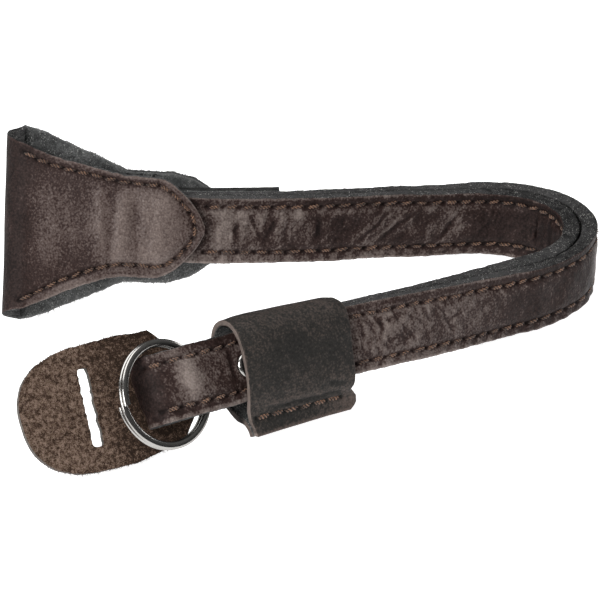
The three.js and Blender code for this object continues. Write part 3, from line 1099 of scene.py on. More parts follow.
    def _shape(self, piece: Piece) -> None:
        """Raise the faces' relief, roughen the cut edge and bend the piece."""
        length, up, through = (read_points(piece) / MM).T
        grain, tone = self.grain_form(length, up)
        flesh = self.flesh_swell(length, up)
        share = through / (self.wall / 2)
        moved = through + share * np.where(share * self.grain.value > 0, grain, flesh)
        low, high = self.outline(np.clip(length, self.columns().min(), self.columns().max()))
        inside = np.maximum(np.minimum(up - low, high - up), 0.0)
        outward = np.where(up > (low + high) / 2, 1.0, -1.0)
        rough = self._edge_form(length, up, through) * np.exp(-inside / self.EDGE_REACH)
        write_points(piece, self.bend(length, up + outward * rough, moved) * MM)
        mark_tone(piece, tone)

    def build(self) -> Piece:
        """Returns:
            The piece's object.
        """
        piece = self._cut()
        self.cut_more(piece)
        self._mark(piece)
        self._shape(piece)
        close_up(piece, self.SMOOTH_ANGLE)
        settle(piece, (self.node,))
        self.declare()
        return piece

    def cut_more(self, piece: Piece) -> None:
        """Cut slots into the flat piece; most pieces have none."""

    def declare(self) -> None:
        """Work out the outline at the columns; the result is not used."""
        columns = self.columns()
        low, high = self.outline(columns)


# The strap's own sizes, which several pieces share
GAP = 0.3
LAYER = 2.8
TONGUE_WALL = 2.9
HALF_WIDTH = 7.5
LAYER_OUT = (GAP + LAYER) / 2
STRAP_FACE = GAP / 2 + LAYER
STRAP_START = 27.6
ROW_UP = 5.2
BEND_AT = 133.0
BEND_HALF = 34.0
RETURN_END = 231.0
LOOP_OPENS = 244.9
LOOP_OPEN = 249.2
LOOP_END = 265.7
LOOP_BACK_BULGE = 1.9


def parting(at: Array) -> Array:
    """Share of the layers' parting in the bend of the U."""
    return ease(0.0, 1.0, 1 - np.abs(at - BEND_AT) / BEND_HALF)


@dataclass
class StrapLayer(LeatherPiece):
    """One of the strap's two sewn layers."""

    slot: str = "strap_leather"
    thicker: float = 0.85
    pucker: float = 0.08
    fill: float = 0.0
    sag: float = 0.0
    dip: float = 0.0
    path: BentPath = field(init=False)

    EDGE_ROWS = 4
    SEAM_ROWS = 9
    MIDDLE_ROWS = 17
    SEAM_OUTSIDE = 6.3
    SEAM_INSIDE = 4.1
    DIP_AT = 121.0
    DIP_LONG = 7.0
    FILL_AT = 166.0
    FILL_LONG = 15.0
    SAGS = (238.0, 248.0)
    EDGE_WAVE = Wave(0.1, (9.0, 1.0), 20)
    PILLOW = 0.28
    PILLOW_SPAN = (ROW_UP, ROW_UP - 2.2)
    MARGIN_SPAN = (ROW_UP, ROW_UP + 0.9)
    WAVES = (Wave(0.24, (5.5, 6.0)), Wave(0.12, (2.0, 2.6), 1))
    JITTER = Wave(0.1, (1.4, 4.0), 2)
    UPPER_PUCKER = 0.35
    RIM_PAINTED_HIGHLIGHT = 0.9
    RIM_SPAN = (HALF_WIDTH - 0.6, HALF_WIDTH - 0.3)
    MOTTLES = (Wave(0.3, (14.0, 7.0), 5), Wave(0.25, (3.2, 0.7), 6, slant=0.9))
    LOWER_SPAN = (ROW_UP, ROW_UP + 0.8)
    LOWER_PAINTED_HIGHLIGHT = 0.35
    BAR_PAINTED_HIGHLIGHT = 0.3
    BAR_SHIFT = Wave(1.5, (4.0, 9.0), 7)
    UPPER_SPAN = (ROW_UP + 0.3, ROW_UP + 1.0)
    UPPER_TONE = 0.35
    UNDER_ROW = ROW_UP - 1.1
    UNDER_WIDE = 0.7
    UNDER_TONE = 0.35
    UNDER_SPOTS = Wave(0.5, (2.6, 9.0), 8)

    def columns(self) -> Array:
        """Lengths of the layer's columns along its path."""
        return steps_between(STRAP_START, self.path.end, self.column)

    def rows(self) -> Array:
        """Shares of the width, closer together at the seams."""
        edge = np.linspace(-HALF_WIDTH, -self.SEAM_OUTSIDE, self.EDGE_ROWS)
        seam = np.linspace(-self.SEAM_OUTSIDE, -self.SEAM_INSIDE, self.SEAM_ROWS)
        middle = np.linspace(-self.SEAM_INSIDE, self.SEAM_INSIDE, self.MIDDLE_ROWS)
        return np.concatenate([edge, seam[1:], middle[1:], -seam[::-1][1:], -edge[::-1][1:]]) / HALF_WIDTH

    def outline(self, length: Array) -> Pair:
        """Nearly straight edges, which sag at the ring and dip in the bend."""
        wave = self.EDGE_WAVE.edge(length, self.seed) - self.sag * ease(*self.SAGS, length)
        dip = self.dip * bump(length, self.DIP_AT, self.DIP_LONG)
        return -HALF_WIDTH + wave - dip, HALF_WIDTH + wave

    def bend(self, length: Array, up: Array, through: Array) -> Array:
        """Follow the layer's path along the route."""
        at, out = self.path.locate(length, through)
        return self.route.place(at, out, up)

    def materials(self) -> Skins:
        """Brown grain, and a black that the flesh side shares with the cut edge."""
        return self.finishes.strap, self.finishes.edge, self.finishes.edge

    def swell(self, length: Array, up: Array) -> Array:
        """Pillow between the seams, puckers beside the lower one and soft waves."""
        pillow = self.PILLOW * ease(*self.PILLOW_SPAN, np.abs(up))
        pucker = self.pucker * np.cos(2 * math.pi * length / Seam.PITCH)
        pucker = pucker * np.where(up < 0, 1.0, self.UPPER_PUCKER)
        margin = ease(*self.MARGIN_SPAN, np.abs(up)) * (pucker + self.JITTER.over(length, up, self.seed))
        return pillow + self.uneven(self.WAVES, length, up) + margin

    def flesh_swell(self, length: Array, up: Array) -> Array:
        """Rough flesh side, thicker in the bend where the layers part."""
        apart = self.thicker * parting(length) + self.fill * bump(length, self.FILL_AT, self.FILL_LONG)
        return apart + super().flesh_swell(length, up)

    def shade(self, length: Array, up: Array) -> Array:
        """Painted highlight on the rim at the cut edges, mottling, painted highlights in bars along the lower
        margin, a spotty paler band just inside the upper row and a darker upper margin.
        """
        # Painted highlight along the rounded rim at both cut edges.
        rim = self.RIM_PAINTED_HIGHLIGHT * ease(*self.RIM_SPAN, np.abs(up))
        bars = np.cos(2 * math.pi * length / Seam.PITCH + self.BAR_SHIFT.over(length, up, self.seed))
        # Painted highlights along the lower margin, in bars that follow the puckers.
        lower = ease(*self.LOWER_SPAN, -up) * (self.LOWER_PAINTED_HIGHLIGHT + self.BAR_PAINTED_HIGHLIGHT * bars)
        spots = self.UNDER_TONE + self.UNDER_SPOTS.over(length, up, self.seed)
        under = bump(up, self.UNDER_ROW, self.UNDER_WIDE) * spots
        upper = -self.UPPER_TONE * ease(*self.UPPER_SPAN, up)
        return rim + self.uneven(self.MOTTLES, length, up) + lower + under + upper


@dataclass
class InnerLayer(StrapLayer):
    """The layer on the inner side of the U, whose face shows on the far arm."""

    name: str = "strap_inner_leather"
    node: str = "strap_inner"
    column: float = 0.42
    seed: int = 11
    grain: Side = Side.UNDER
    fill: float = 1.3
    dip: float = 0.6
    creases: tuple[Crease, ...] = (
        Crease(((53.4, 4.0), (54.6, 1.6), (55.9, -0.6), (56.6, -2.0)), 0.3, 0.32),
        Crease(((59.8, 3.6), (58.6, 0.8), (57.4, -2.2)), 0.2, 0.5),
        Crease(((50.6, 2.0), (51.0, -1.6)), 0.12, 0.6),
        Crease(((70.4, 4.4), (69.4, 0.6), (69.0, -3.6)), 0.2, 0.7),
        Crease(((86.0, 3.6), (82.2, -0.4), (79.4, -3.0)), 0.14, 0.4),
        Crease(((92.6, 3.8), (88.8, 0.6), (84.6, -2.8)), 0.16, 0.4),
        Crease(((104.4, 4.2), (101.6, 0.4), (99.2, -3.4)), 0.2, 0.5),
        Crease(((125.6, 4.0), (125.2, 0.0), (125.4, -3.0)), 0.5, 0.4),
        Crease(((131.0, 5.0), (130.6, -4.0)), 0.3, 0.6),
        Crease(((137.0, 5.0), (136.8, -4.5)), 0.35, 0.6),
    )
    stretches: tuple[CreasedStretch, ...] = (
        CreasedStretch(62.0, 14.0, 80.0, (7.0, 4.2), 0.36, 0.6, 301, sharp=8),
        CreasedStretch(70.0, 16.0, 98.0, (5.0, 2.6), 0.2, 0.5, 307, sharp=8),
        CreasedStretch(94.0, 16.0, 48.0, (8.0, 2.6), 0.26, 0.5, 311, sharp=7),
        CreasedStretch(88.0, 18.0, 50.0, (9.0, 1.5), -0.06, -0.9, 313, sharp=12),
        CreasedStretch(112.0, 14.0, 62.0, (9.0, 1.6), -0.05, -0.8, 317, sharp=12),
        CreasedStretch(60.0, 16.0, 95.0, (6.0, 1.5), -0.05, -0.7, 319, sharp=12),
    )
    # These patches paint light and shade: highlights on the far arm's left and on its raised patches, shade
    # in its dents and towards the bend, deepest in the bend where the near arm shades it.
    patches: tuple[Patch, ...] = (
        Patch(48.0, 0.0, 2.6, 5.6, 0.2, 1.3),
        Patch(52.2, 0.5, 1.6, 5.0, 0.15, 0.7),
        Patch(50.6, 0.0, 0.5, 6.0, -0.1, -0.6),
        Patch(56.4, 2.8, 1.3, 1.8, 0.15, 0.9),
        Patch(58.6, 1.0, 0.7, 3.4, -0.2, -0.6),
        Patch(61.4, 1.0, 2.2, 4.0, 0.1, 0.6),
        Patch(64.8, 3.4, 0.9, 1.8, 0.12, 1.1),
        Patch(67.4, 0.0, 1.4, 5.0, -0.1, 0.1),
        Patch(70.2, 3.4, 0.6, 1.8, 0.1, 1.1),
        Patch(74.0, 0.0, 2.8, 5.4, -0.1, -0.35),
        Patch(77.2, 4.0, 0.9, 1.2, 0.0, 0.6),
        Patch(103.4, 0.6, 2.0, 3.6, 0.12, 0.3),
        Patch(110.5, -0.6, 3.4, 3.6, -0.1, -0.4),
        Patch(96.0, 3.6, 2.0, 1.2, 0.0, 0.4),
        Patch(92.0, 0.0, 12.0, 14.0, 0.0, -0.2),
        Patch(132.0, 0.0, 20.0, 14.0, 0.0, -1.1),
    )

    PATH_STEP = 1.0
    PARTED = 1.2
    SEWN = (44.0, 229.0)
    SEWN_UP = (5.4, -4.9)

    def __post_init__(self) -> None:
        """Lay the layer's path and its two rows of stitches."""
        at = steps_between(STRAP_START, RETURN_END - 2 * GAP, self.PATH_STEP)
        filled = self.fill * bump(at, self.FILL_AT, self.FILL_LONG)
        out = -LAYER_OUT - self.PARTED * parting(at) - filled
        self.path = BentPath(np.stack([at, out], axis=1), STRAP_START)
        self.seams = [Seam(np.array([(end, up) for end in self.SEWN])) for up in self.SEWN_UP]


@dataclass
class OuterLayer(StrapLayer):
    """The layer on the outer side of the U, folded round the split ring at the near end."""

    name: str = "strap_outer_leather"
    node: str = "strap_outer"
    column: float = 0.46
    seed: int = 23
    sag: float = 0.6
    creases: tuple[Crease, ...] = (
        Crease(((193.0, 3.8), (191.4, 1.0), (189.8, -2.0)), 0.16, 0.35),
        Crease(((186.6, 2.4), (188.2, 0.8), (190.0, 0.2)), 0.12, 0.35),
        Crease(((209.0, 4.2), (208.0, 1.6), (208.8, -1.0)), 0.18, 0.4),
        Crease(((213.6, 4.0), (213.0, 0.4), (213.8, -3.0)), 0.16, 0.4),
        Crease(((245.6, 4.2), (245.2, -3.6)), 0.16, 0.7),
    )
    stretches: tuple[CreasedStretch, ...] = (
        CreasedStretch(207.0, 8.0, 70.0, (3.4, 2.4), 0.34, 0.9, 331, sharp=7),
        CreasedStretch(204.0, 10.0, 130.0, (4.2, 2.8), 0.28, 0.6, 337),
        CreasedStretch(190.0, 10.0, 105.0, (6.0, 2.2), 0.12, 0.4, 341),
        CreasedStretch(172.0, 20.0, 130.0, (7.0, 1.6), -0.04, -0.6, 347, sharp=12),
        CreasedStretch(198.0, 14.0, 60.0, (5.0, 1.5), -0.05, -0.6, 349, sharp=9),
        CreasedStretch(80.0, 40.0, 75.0, (7.0, 3.0), 0.12, 0.35, 353),
    )
    # These patches paint light and shade: the near arm paler where it faces the light, shade where it turns
    # away in the bend, a highlight strip at the bend's far right, the highlight band over the ring with shade
    # on either side, shade along the loop's lower edge and a highlight along its upper edge.
    patches: tuple[Patch, ...] = (
        Patch(207.0, 0.0, 9.0, 7.0, 0.0, 0.35),
        Patch(190.0, 0.5, 10.0, 6.0, 0.0, 0.15),
        Patch(150.0, 0.0, 20.0, 14.0, 0.0, -0.8),
        Patch(144.6, 0.5, 2.6, 6.0, 0.0, 1.3),
        Patch(256.4, -0.2, 2.2, 4.8, 0.6, 1.6),
        Patch(247.0, 0.0, 3.6, 9.0, 0.0, -0.3),
        Patch(265.4, 0.0, 2.8, 9.0, 0.0, -1.2),
        Patch(257.5, -6.9, 8.0, 1.3, 0.0, -0.9),
        Patch(259.5, 6.6, 4.5, 1.2, 0.0, 0.9),
    )

    PATH_STEP = 0.8
    FOLD_STEPS = 25
    PARTED = 0.7
    FRONT_BULGE = 2.8
    FRONT_RISES = (242.5, 255.0)
    UPPER_ROW = ((44.5, 5.4), (164.0, 5.3), (188.0, 4.9), (240.0, 4.85), (248.0, 4.6), (264.2, 4.3))
    LOWER_ROW = ((44.5, -5.0), (164.0, -5.1), (190.0, -5.3), (240.0, -5.3), (248.0, -5.5), (263.4, -5.5))

    def __post_init__(self) -> None:
        """Lay the layer's path to the ring, round it and back, and its two rows of stitches."""
        radius = LAYER_OUT + (self.FRONT_BULGE + LOOP_BACK_BULGE) / 2
        middle = (self.FRONT_BULGE - LOOP_BACK_BULGE) / 2
        fold_at = LOOP_END - LAYER / 2 - radius
        way = steps_between(STRAP_START, fold_at, self.PATH_STEP)
        home = steps_between(fold_at, RETURN_END, self.PATH_STEP)
        front = LAYER_OUT + self.PARTED * parting(way) + self.FRONT_BULGE * ease(*self.FRONT_RISES, way)
        back = -LAYER_OUT - LOOP_BACK_BULGE * ease(LOOP_OPENS, LOOP_OPEN, home)
        angle = np.linspace(math.pi / 2, -math.pi / 2, self.FOLD_STEPS)[1:-1]
        fold = np.stack([fold_at + radius * np.cos(angle), middle + radius * np.sin(angle)], axis=1)
        points = np.concatenate([np.stack([way, front], axis=1), fold, np.stack([home, back], axis=1)])
        self.path = BentPath(points, STRAP_START)
        self.seams = [Seam(np.array(row)) for row in (self.UPPER_ROW, self.LOWER_ROW)]


@dataclass(frozen=True)
class FlareWall:
    """Half width of one wall of the flared end: a flare, a neck and a rounded tip."""

    wide: float
    neck: float
    start: float
    flare: float
    power: float
    round: float
    end: float
    rounding: float

    TIP_SHARE = 0.985

    def half(self, at: Array) -> Array:
        """Half width of the wall."""
        flared = np.clip(1 - (at - self.start) / self.flare, 0.0, 1.0) ** self.power
        tip = np.clip((at - self.round) / (self.end - self.round), 0.0, self.TIP_SHARE)
        body = self.neck + (self.wide - self.neck) * flared
        return body * (1 - tip**self.rounding) ** (1 / self.rounding)


@dataclass
class EndTab(LeatherPiece):
    """Flared end: one leather piece folded over the strap's end and sewn all round."""

    name: str = "flared_end"
    node: str = "end_tab"
    slot: str = "end_leather"
    wall: float = 2.2
    column: float = 0.42
    rounding: float = 0.5
    edge_rough: float = 0.16
    seed: int = 31
    front: FlareWall = FlareWall(
        wide=20.5, neck=11.2, start=0.0, flare=26.0, power=1.3, round=33.0, end=43.4, rounding=1.5
    )
    back: FlareWall = FlareWall(
        wide=21.7, neck=12.4, start=4.0, flare=23.4, power=0.95, round=36.5, end=52.0, rounding=1.8
    )
    fold_radius: float = 3.2
    front_lift: float = 0.65
    back_drop: float = 1.9
    top_trim: float = 1.5
    rim: float = 2.0

    FRONT_OUT = -STRAP_FACE - GAP - wall / 2
    BACK_OUT = STRAP_FACE + GAP + TONGUE_WALL + GAP + wall / 2
    BACK_SETTLED = 25.6
    LIFTED = 22.0
    DROPPED = 40.0
    TRIMMED = (25.0, 5.0)
    PATH_STEP = 0.5
    FOLD_STEPS = 23
    TIP_LONG = 1.6
    TIP_COLUMNS = 9
    EDGE_FROM = 0.62
    EDGE_ROWS = 13
    MIDDLE_ROWS = 37
    CORNER = 0.5
    CORNER_LONG = 2.2
    RAGGED = Wave(0.22, (2.6, 1.0))
    FOLD_FILL = 1.7
    FOLD_FILL_LONG = 5.5

    ROW_AT = (3.6, 7.0, 12.0, 25.0, 32.0, 36.0, 43.0)
    ROW_TOP_INSET = (1.7, 1.8, 1.8, 1.5, 1.6, 1.7, 1.8)
    ROW_LOW_INSET = (1.8, 2.0, 2.6, 2.7, 2.6, 1.8, 1.8)
    ROW_BODY = (3.6, 36.0, 24)
    ROW_ROUND = (36.8, 41.0, 12)
    ROW_TIP = 41.4
    ROW_LEAST = 0.4
    BACK_ROW_FROM = 6.5
    PITCH = 3.0
    GROOVE = 0.45

    LEAN = 0.06
    FOLDS = (
        Patch(21.0, 0.0, 1.3, math.inf, height=0.25, lean=LEAN),
        Patch(25.2, 0.0, 1.5, math.inf, height=0.3, lean=-LEAN),
        Patch(28.6, 2.4, 1.0, 4.0, height=-0.3, lean=LEAN),
        Patch(33.8, 0.0, 3.4, math.inf, height=0.5),
        Patch(14.0, 0.0, 6.0, math.inf, height=-0.3),
    )
    PADDING = 0.3
    PADDING_IN = 4.0
    FOLD_EASE = 2.0
    SETTLES = (1.0, 14.0)
    BEAD = 0.35
    BEAD_IN = 0.95
    BEAD_WIDE = 0.7
    WAVES = (Wave(0.14, (6.0, 11.0)), Wave(0.08, (2.5, 4.0), 1))

    # Painted highlights on the front wall's soft folds and on its left and right parts, and painted shade in
    # the dents between them.
    FRONT_PAINTED_LIGHT_AND_SHADE = (
        Patch(20.8, 0.0, 1.4, math.inf, tone=0.4, lean=LEAN),
        Patch(25.3, 0.0, 1.8, math.inf, tone=0.75, lean=-LEAN),
        Patch(28.6, 2.4, 0.8, 3.4, tone=-0.5, lean=LEAN),
        Patch(22.9, 0.0, 0.6, math.inf, tone=-0.3, lean=-LEAN),
        Patch(33.4, 0.0, 4.2, math.inf, tone=1.0),
        Patch(27.0, 0.0, 7.0, math.inf, tone=0.4),
        Patch(8.0, 0.0, 5.0, math.inf, tone=0.5),
    )
    LIT_SPAN = (11.0, 6.0)
    RIM_PAINTED_HIGHLIGHT = 0.9
    RIM_SPAN = (0.6, 0.2)
    FOLD_PAINTED_SHADE = -1.2
    FOLD_PAINTED_SHADE_LONG = 7.5
    STROKES = Wave(0.2, (1.2, 6.0), 8)
    STROKE_LEAN = 0.3
    MARGIN_PAINTED_HIGHLIGHT = 0.8
    MARGIN_SPAN = (2.2, 1.4)
    MARGIN_AT = 13.0
    MARGIN_LONG = 8.0
    MOTTLE = Wave(0.3, (6.0, 9.0), 6)

    def __post_init__(self) -> None:
        """Lay the fold's path and the seam that runs through both walls."""
        radius = self.fold_radius
        self.fold_at = radius + self.wall / 2
        fold_out = self.FRONT_OUT + radius
        going = steps_between(self.front.end, self.fold_at, self.PATH_STEP)
        home = steps_between(self.fold_at, self.back.end, self.PATH_STEP)
        angle = np.linspace(-math.pi / 2, -1.5 * math.pi, self.FOLD_STEPS)[1:-1]
        front = np.stack([going, np.full_like(going, self.FRONT_OUT)], axis=1)
        fold = np.stack([self.fold_at + radius * np.cos(angle), fold_out + radius * np.sin(angle)], axis=1)
        settled = ease(self.fold_at, self.BACK_SETTLED, home)
        back_out = fold_out + radius + (self.BACK_OUT - fold_out - radius) * settled
        self.path = BentPath(np.concatenate([front, fold, np.stack([home, back_out], axis=1)]), 0.0)
        home_marks = self.path.marks[len(front) + len(fold) :]
        self.front_end = self.front.end - self.fold_at
        self.fold_end = float(home_marks[0])
        self.fold_middle = (self.front_end + self.fold_end) / 2
        row = self._front_row()
        row_at = self.front.end - row[:, 0]
        back_row = np.stack([np.interp(row_at, home, home_marks), row[:, 1]], axis=1)
        rows = (row, back_row[row_at > self.BACK_ROW_FROM])
        self.seams = [Seam(line, self.PITCH, self.GROOVE) for line in rows]

    def _lift(self, at: Array) -> Array:
        """How far the front wall is set upwards."""
        return self.front_lift * ease(self.fold_at, self.LIFTED, at)

    def _trim(self, at: Array) -> Array:
        """How much is trimmed off the front wall's upper edge."""
        return self.top_trim * ease(*self.TRIMMED, at)

    def _front_row(self) -> Array:
        """Corners of the seam round the front wall, a little inside its edge."""
        at = np.concatenate([np.linspace(*self.ROW_BODY), np.linspace(*self.ROW_ROUND)])
        half = self.front.half(at)
        steep = np.sqrt(1 + np.gradient(half, at) ** 2)
        top_inset = steep * np.interp(at, self.ROW_AT, self.ROW_TOP_INSET)
        low_inset = steep * np.interp(at, self.ROW_AT, self.ROW_LOW_INSET)
        over = np.maximum(half - self._trim(at) - top_inset, self.ROW_LEAST)
        under = np.maximum(half - low_inset, self.ROW_LEAST)
        length = self.front.end - at
        top = np.stack([length, self._lift(at) + over], axis=1)
        low = np.stack([length, self._lift(at) - under], axis=1)
        tip = np.array([[self.front.end - self.ROW_TIP, self.front_lift]])
        return np.concatenate([top, tip, low[::-1]])

    def columns(self) -> Array:
        """Columns along the path, closer together at the two rounded tips."""
        tip = np.linspace(0.0, self.TIP_LONG, self.TIP_COLUMNS)
        middle = steps_between(self.TIP_LONG, self.path.end - self.TIP_LONG, self.column)
        return np.concatenate([tip[:-1], middle, self.path.end - tip[::-1][1:]])

    def rows(self) -> Array:
        """Rows across the piece, closer together at the edges."""
        edge = np.linspace(-1.0, -self.EDGE_FROM, self.EDGE_ROWS)
        middle = np.linspace(-self.EDGE_FROM, self.EDGE_FROM, self.MIDDLE_ROWS)
        return np.concatenate([edge, middle[1:-1], -edge[::-1]])

    def outline(self, length: Array) -> Pair:
        """Edges of the front wall, of the fold and of the back wall, which is set lower."""
        at = self.path.locate(length, np.zeros_like(length))[0]
        on_front = length < self.front_end
        on_fold = length < self.fold_end
        share = np.clip((length - self.front_end) / (self.fold_end - self.front_end), 0.0, 1.0)
        start = self.front.half(np.array([self.fold_at]))[0]
        turned = start + (self.back.wide - start) * share
        half = np.where(on_front, self.front.half(at), np.where(on_fold, turned, self.back.half(at)))
        half = half - self.CORNER * bump(length, self.fold_end, self.CORNER_LONG)
        drop = self.back_drop * ease(self.fold_at, self.DROPPED, at)
        shift = np.where(on_front, self._lift(at), np.where(on_fold, 0.0, -drop))
        ragged = self.RAGGED.edge(length, self.seed) * ease(self.front_end, self.fold_end, length)
        return shift - half - ragged, shift + half + ragged - self._trim(at) * (1 - share)

    def bend(self, length: Array, up: Array, through: Array) -> Array:
        """Follow the folded path along the route."""
        at, out = self.path.locate(length, through)
        return self.route.place(at, out, up)

    def materials(self) -> Skins:
        """Satin grain outside, black flesh side inside and a dark cut edge."""
        return self.finishes.end, self.finishes.flesh, self.finishes.edge

    def swell(self, length: Array, up: Array) -> Array:
        """Soft folds of the front wall where it settles on the strap's end, and its padded middle."""
        at = self.front.end - length
        low, high = self.outline(length)
        gap = np.minimum(high - up, up - low)
        on_front = ease(self.front_end + self.FOLD_EASE, self.front_end - self.FOLD_EASE, length)
        settled = ease(self.front_end - self.SETTLES[0], self.front_end - self.SETTLES[1], length)
        inside = ease(0.0, self.PADDING_IN, gap - self.rim)
        folds = sum(fold.height * fold.share(at, up) for fold in self.FOLDS)
        bead = self.BEAD * bump(gap, self.BEAD_IN, self.BEAD_WIDE)
        return on_front * (settled * inside * (folds + self.PADDING) + bead) + self.uneven(self.WAVES, at, up)

    def flesh_swell(self, length: Array, up: Array) -> Array:
        """Rough flesh side, thick inside the fold so that the walls nearly meet there."""
        fold = self.FOLD_FILL * bump(length, self.fold_middle, self.FOLD_FILL_LONG)
        return fold + super().flesh_swell(length, up)

    def shade(self, length: Array, up: Array) -> Array:
        """Painted shade at the fold, painted light and shade on the front wall's folds, painted highlights on
        the rim and the lower margin, and mottling.
        """
        at = self.front.end - length
        low, high = self.outline(length)
        # Painted highlight along the rim of the whole outline.
        rim = self.RIM_PAINTED_HIGHLIGHT * ease(*self.RIM_SPAN, np.minimum(high - up, up - low))
        front_painted_light = sum(light.tone * light.share(at, up) for light in self.FRONT_PAINTED_LIGHT_AND_SHADE)
        strokes = self.STROKES.over(at + self.STROKE_LEAN * up, up, self.seed)
        lit = ease(*self.LIT_SPAN, np.abs(up)) * (front_painted_light + strokes)
        # Painted shade over the fold.
        fold = self.FOLD_PAINTED_SHADE * bump(length, self.fold_middle, self.FOLD_PAINTED_SHADE_LONG)
        # Painted highlight along the lower margin of the front wall's left part.
        margin = self.MARGIN_PAINTED_HIGHLIGHT * ease(*self.MARGIN_SPAN, up - low)
        margin = margin * bump(at, self.MARGIN_AT, self.MARGIN_LONG)
        return rim + margin + lit + fold + self.MOTTLE.over(at, up, self.seed)


@dataclass
class Tongue(LeatherPiece):
    """Black leather layer behind the far arm, running out of the flared end."""

    name: str = "end_tongue_leather"
    node: str = "end_tongue"
    slot: str = "flesh_leather"
    wall: float = TONGUE_WALL
    column: float = 0.4
    rounding: float = 0.2
    edge_rough: float = 0.04
    seed: int = 41

    ROWS = 41
    END = 62.4
    END_SKEW = 0.3
    SKEW_LONG = 6.0
    OUT = STRAP_FACE + GAP + TONGUE_WALL / 2
    SEWN = (46.4, 61.2)
    SEWN_UP = (5.4, -5.0)

    def __post_init__(self) -> None:
        """Carry on both rows of the strap's seam."""
        self.seams = [Seam(np.array([(end, up) for end in self.SEWN])) for up in self.SEWN_UP]

    def columns(self) -> Array:
        """Lengths along the route."""
        return steps_between(STRAP_START, self.END, self.column)

    def rows(self) -> Array:
        """Even rows."""
        return np.linspace(-1.0, 1.0, self.ROWS)

    def outline(self, length: Array) -> Pair:
        """Straight edges."""
        return np.full_like(length, -HALF_WIDTH), np.full_like(length, HALF_WIDTH)

    def bend(self, length: Array, up: Array, through: Array) -> Array:
        """Follow the route behind the strap."""
        skew = self.END_SKEW * through * ease(self.END - self.SKEW_LONG, self.END, length)
        return self.route.place(length + skew, self.OUT + through, up)

    def materials(self) -> Skins:
        """Black on every side."""
        return self.finishes.tongue, self.finishes.flesh, self.finishes.tongue


class KeeperSection:
    """The keeper's section, from the front of its flange round the strap to the back of it."""

    TIGHT = (
        (1.1, -15.0), (1.3, -12.0), (4.3, -7.8), (4.6, -1.0), (4.6, 4.0), (3.55, 7.6), (0.0, 8.9),
        (-3.55, 7.6), (-4.6, 4.0), (-4.6, -1.0), (-4.5, -7.0), (-3.0, -10.2), (-1.3, -12.0), (-1.1, -15.0),
    )
    LOOSE = (
        (1.1, -15.7), (1.9, -12.0), (5.2, -6.5), (7.2, 0.0), (7.0, 5.4), (4.4, 8.6), (0.3, 9.5),
        (-4.0, 8.3), (-7.2, 4.6), (-7.9, -1.0), (-7.3, -7.6), (-4.4, -10.6), (-1.4, -12.4), (-1.1, -15.7),
    )
    STEPS = 12

    def __init__(self) -> None:
        """Lay a smooth line through both ends' points."""
        self.tight = self._curve(np.array(self.TIGHT))
        self.loose = self._curve(np.array(self.LOOSE))
        steps = np.diff((self.tight + self.loose) / 2, axis=0)
        self.marks = np.concatenate([[0.0], np.cumsum(np.hypot(steps[:, 0], steps[:, 1]))])

    def _slope(self, stops: Array, spans: Array) -> Array:
        """Slope of the line at the middle one of three points.

        Args:
            stops: The three points.
            spans: The two spans between them.

        Returns:
            The slope in "out" and "up".
        """
        before, here, after = stops
        whole = (after - before) / (spans[0] + spans[1])
        return (here - before) / spans[0] - whole + (after - here) / spans[1]

    def _curve(self, points: Array) -> Array:
        """Smooth line through points, spaced by the root of their distance."""
        ends = np.concatenate([[2 * points[0] - points[1]], points, [2 * points[-1] - points[-2]]])
        t = np.linspace(0.0, 1.0, self.STEPS, endpoint=False)[:, None]
        line = []
        for k in range(len(points) - 1):
            stops = ends[k : k + 4]
            spans = np.sqrt(np.linalg.norm(np.diff(stops, axis=0), axis=1))
            start, end = stops[1:3]
            slope_in = self._slope(stops[:3], spans[:2]) * spans[1]
            slope_out = self._slope(stops[1:], spans[1:]) * spans[1]
            cube = (2 * start - 2 * end + slope_in + slope_out) * t**3
            square = (-3 * start + 3 * end - 2 * slope_in - slope_out) * t**2
            line.append(start + slope_in * t + square + cube)
        return np.concatenate([*line, points[-1:]])

    def locate(self, around: Array, share: Array, through: Array) -> Pair:
        """Points of the wall.

        Args:
            around: Lengths round the section.
            share: 0 at the tight end and 1 at the loose end.
            through: Distances through the wall, over 0 on its inside.

        Returns:
            "out" and "up" of each point.
        """
        spots = []
        for line in (self.tight, self.loose):
            tangent = unit(np.gradient(line, self.marks, axis=0))
            out, up = (np.interp(around, self.marks, line[:, k]) for k in range(2))
            turn_out, turn_up = (np.interp(around, self.marks, tangent[:, k]) for k in range(2))
            size = np.hypot(turn_out, turn_up)
            spots.append((out - turn_up / size * through, up + turn_out / size * through))
        out, up = (near * (1 - share) + far * share for near, far in zip(*spots))
        return out, up


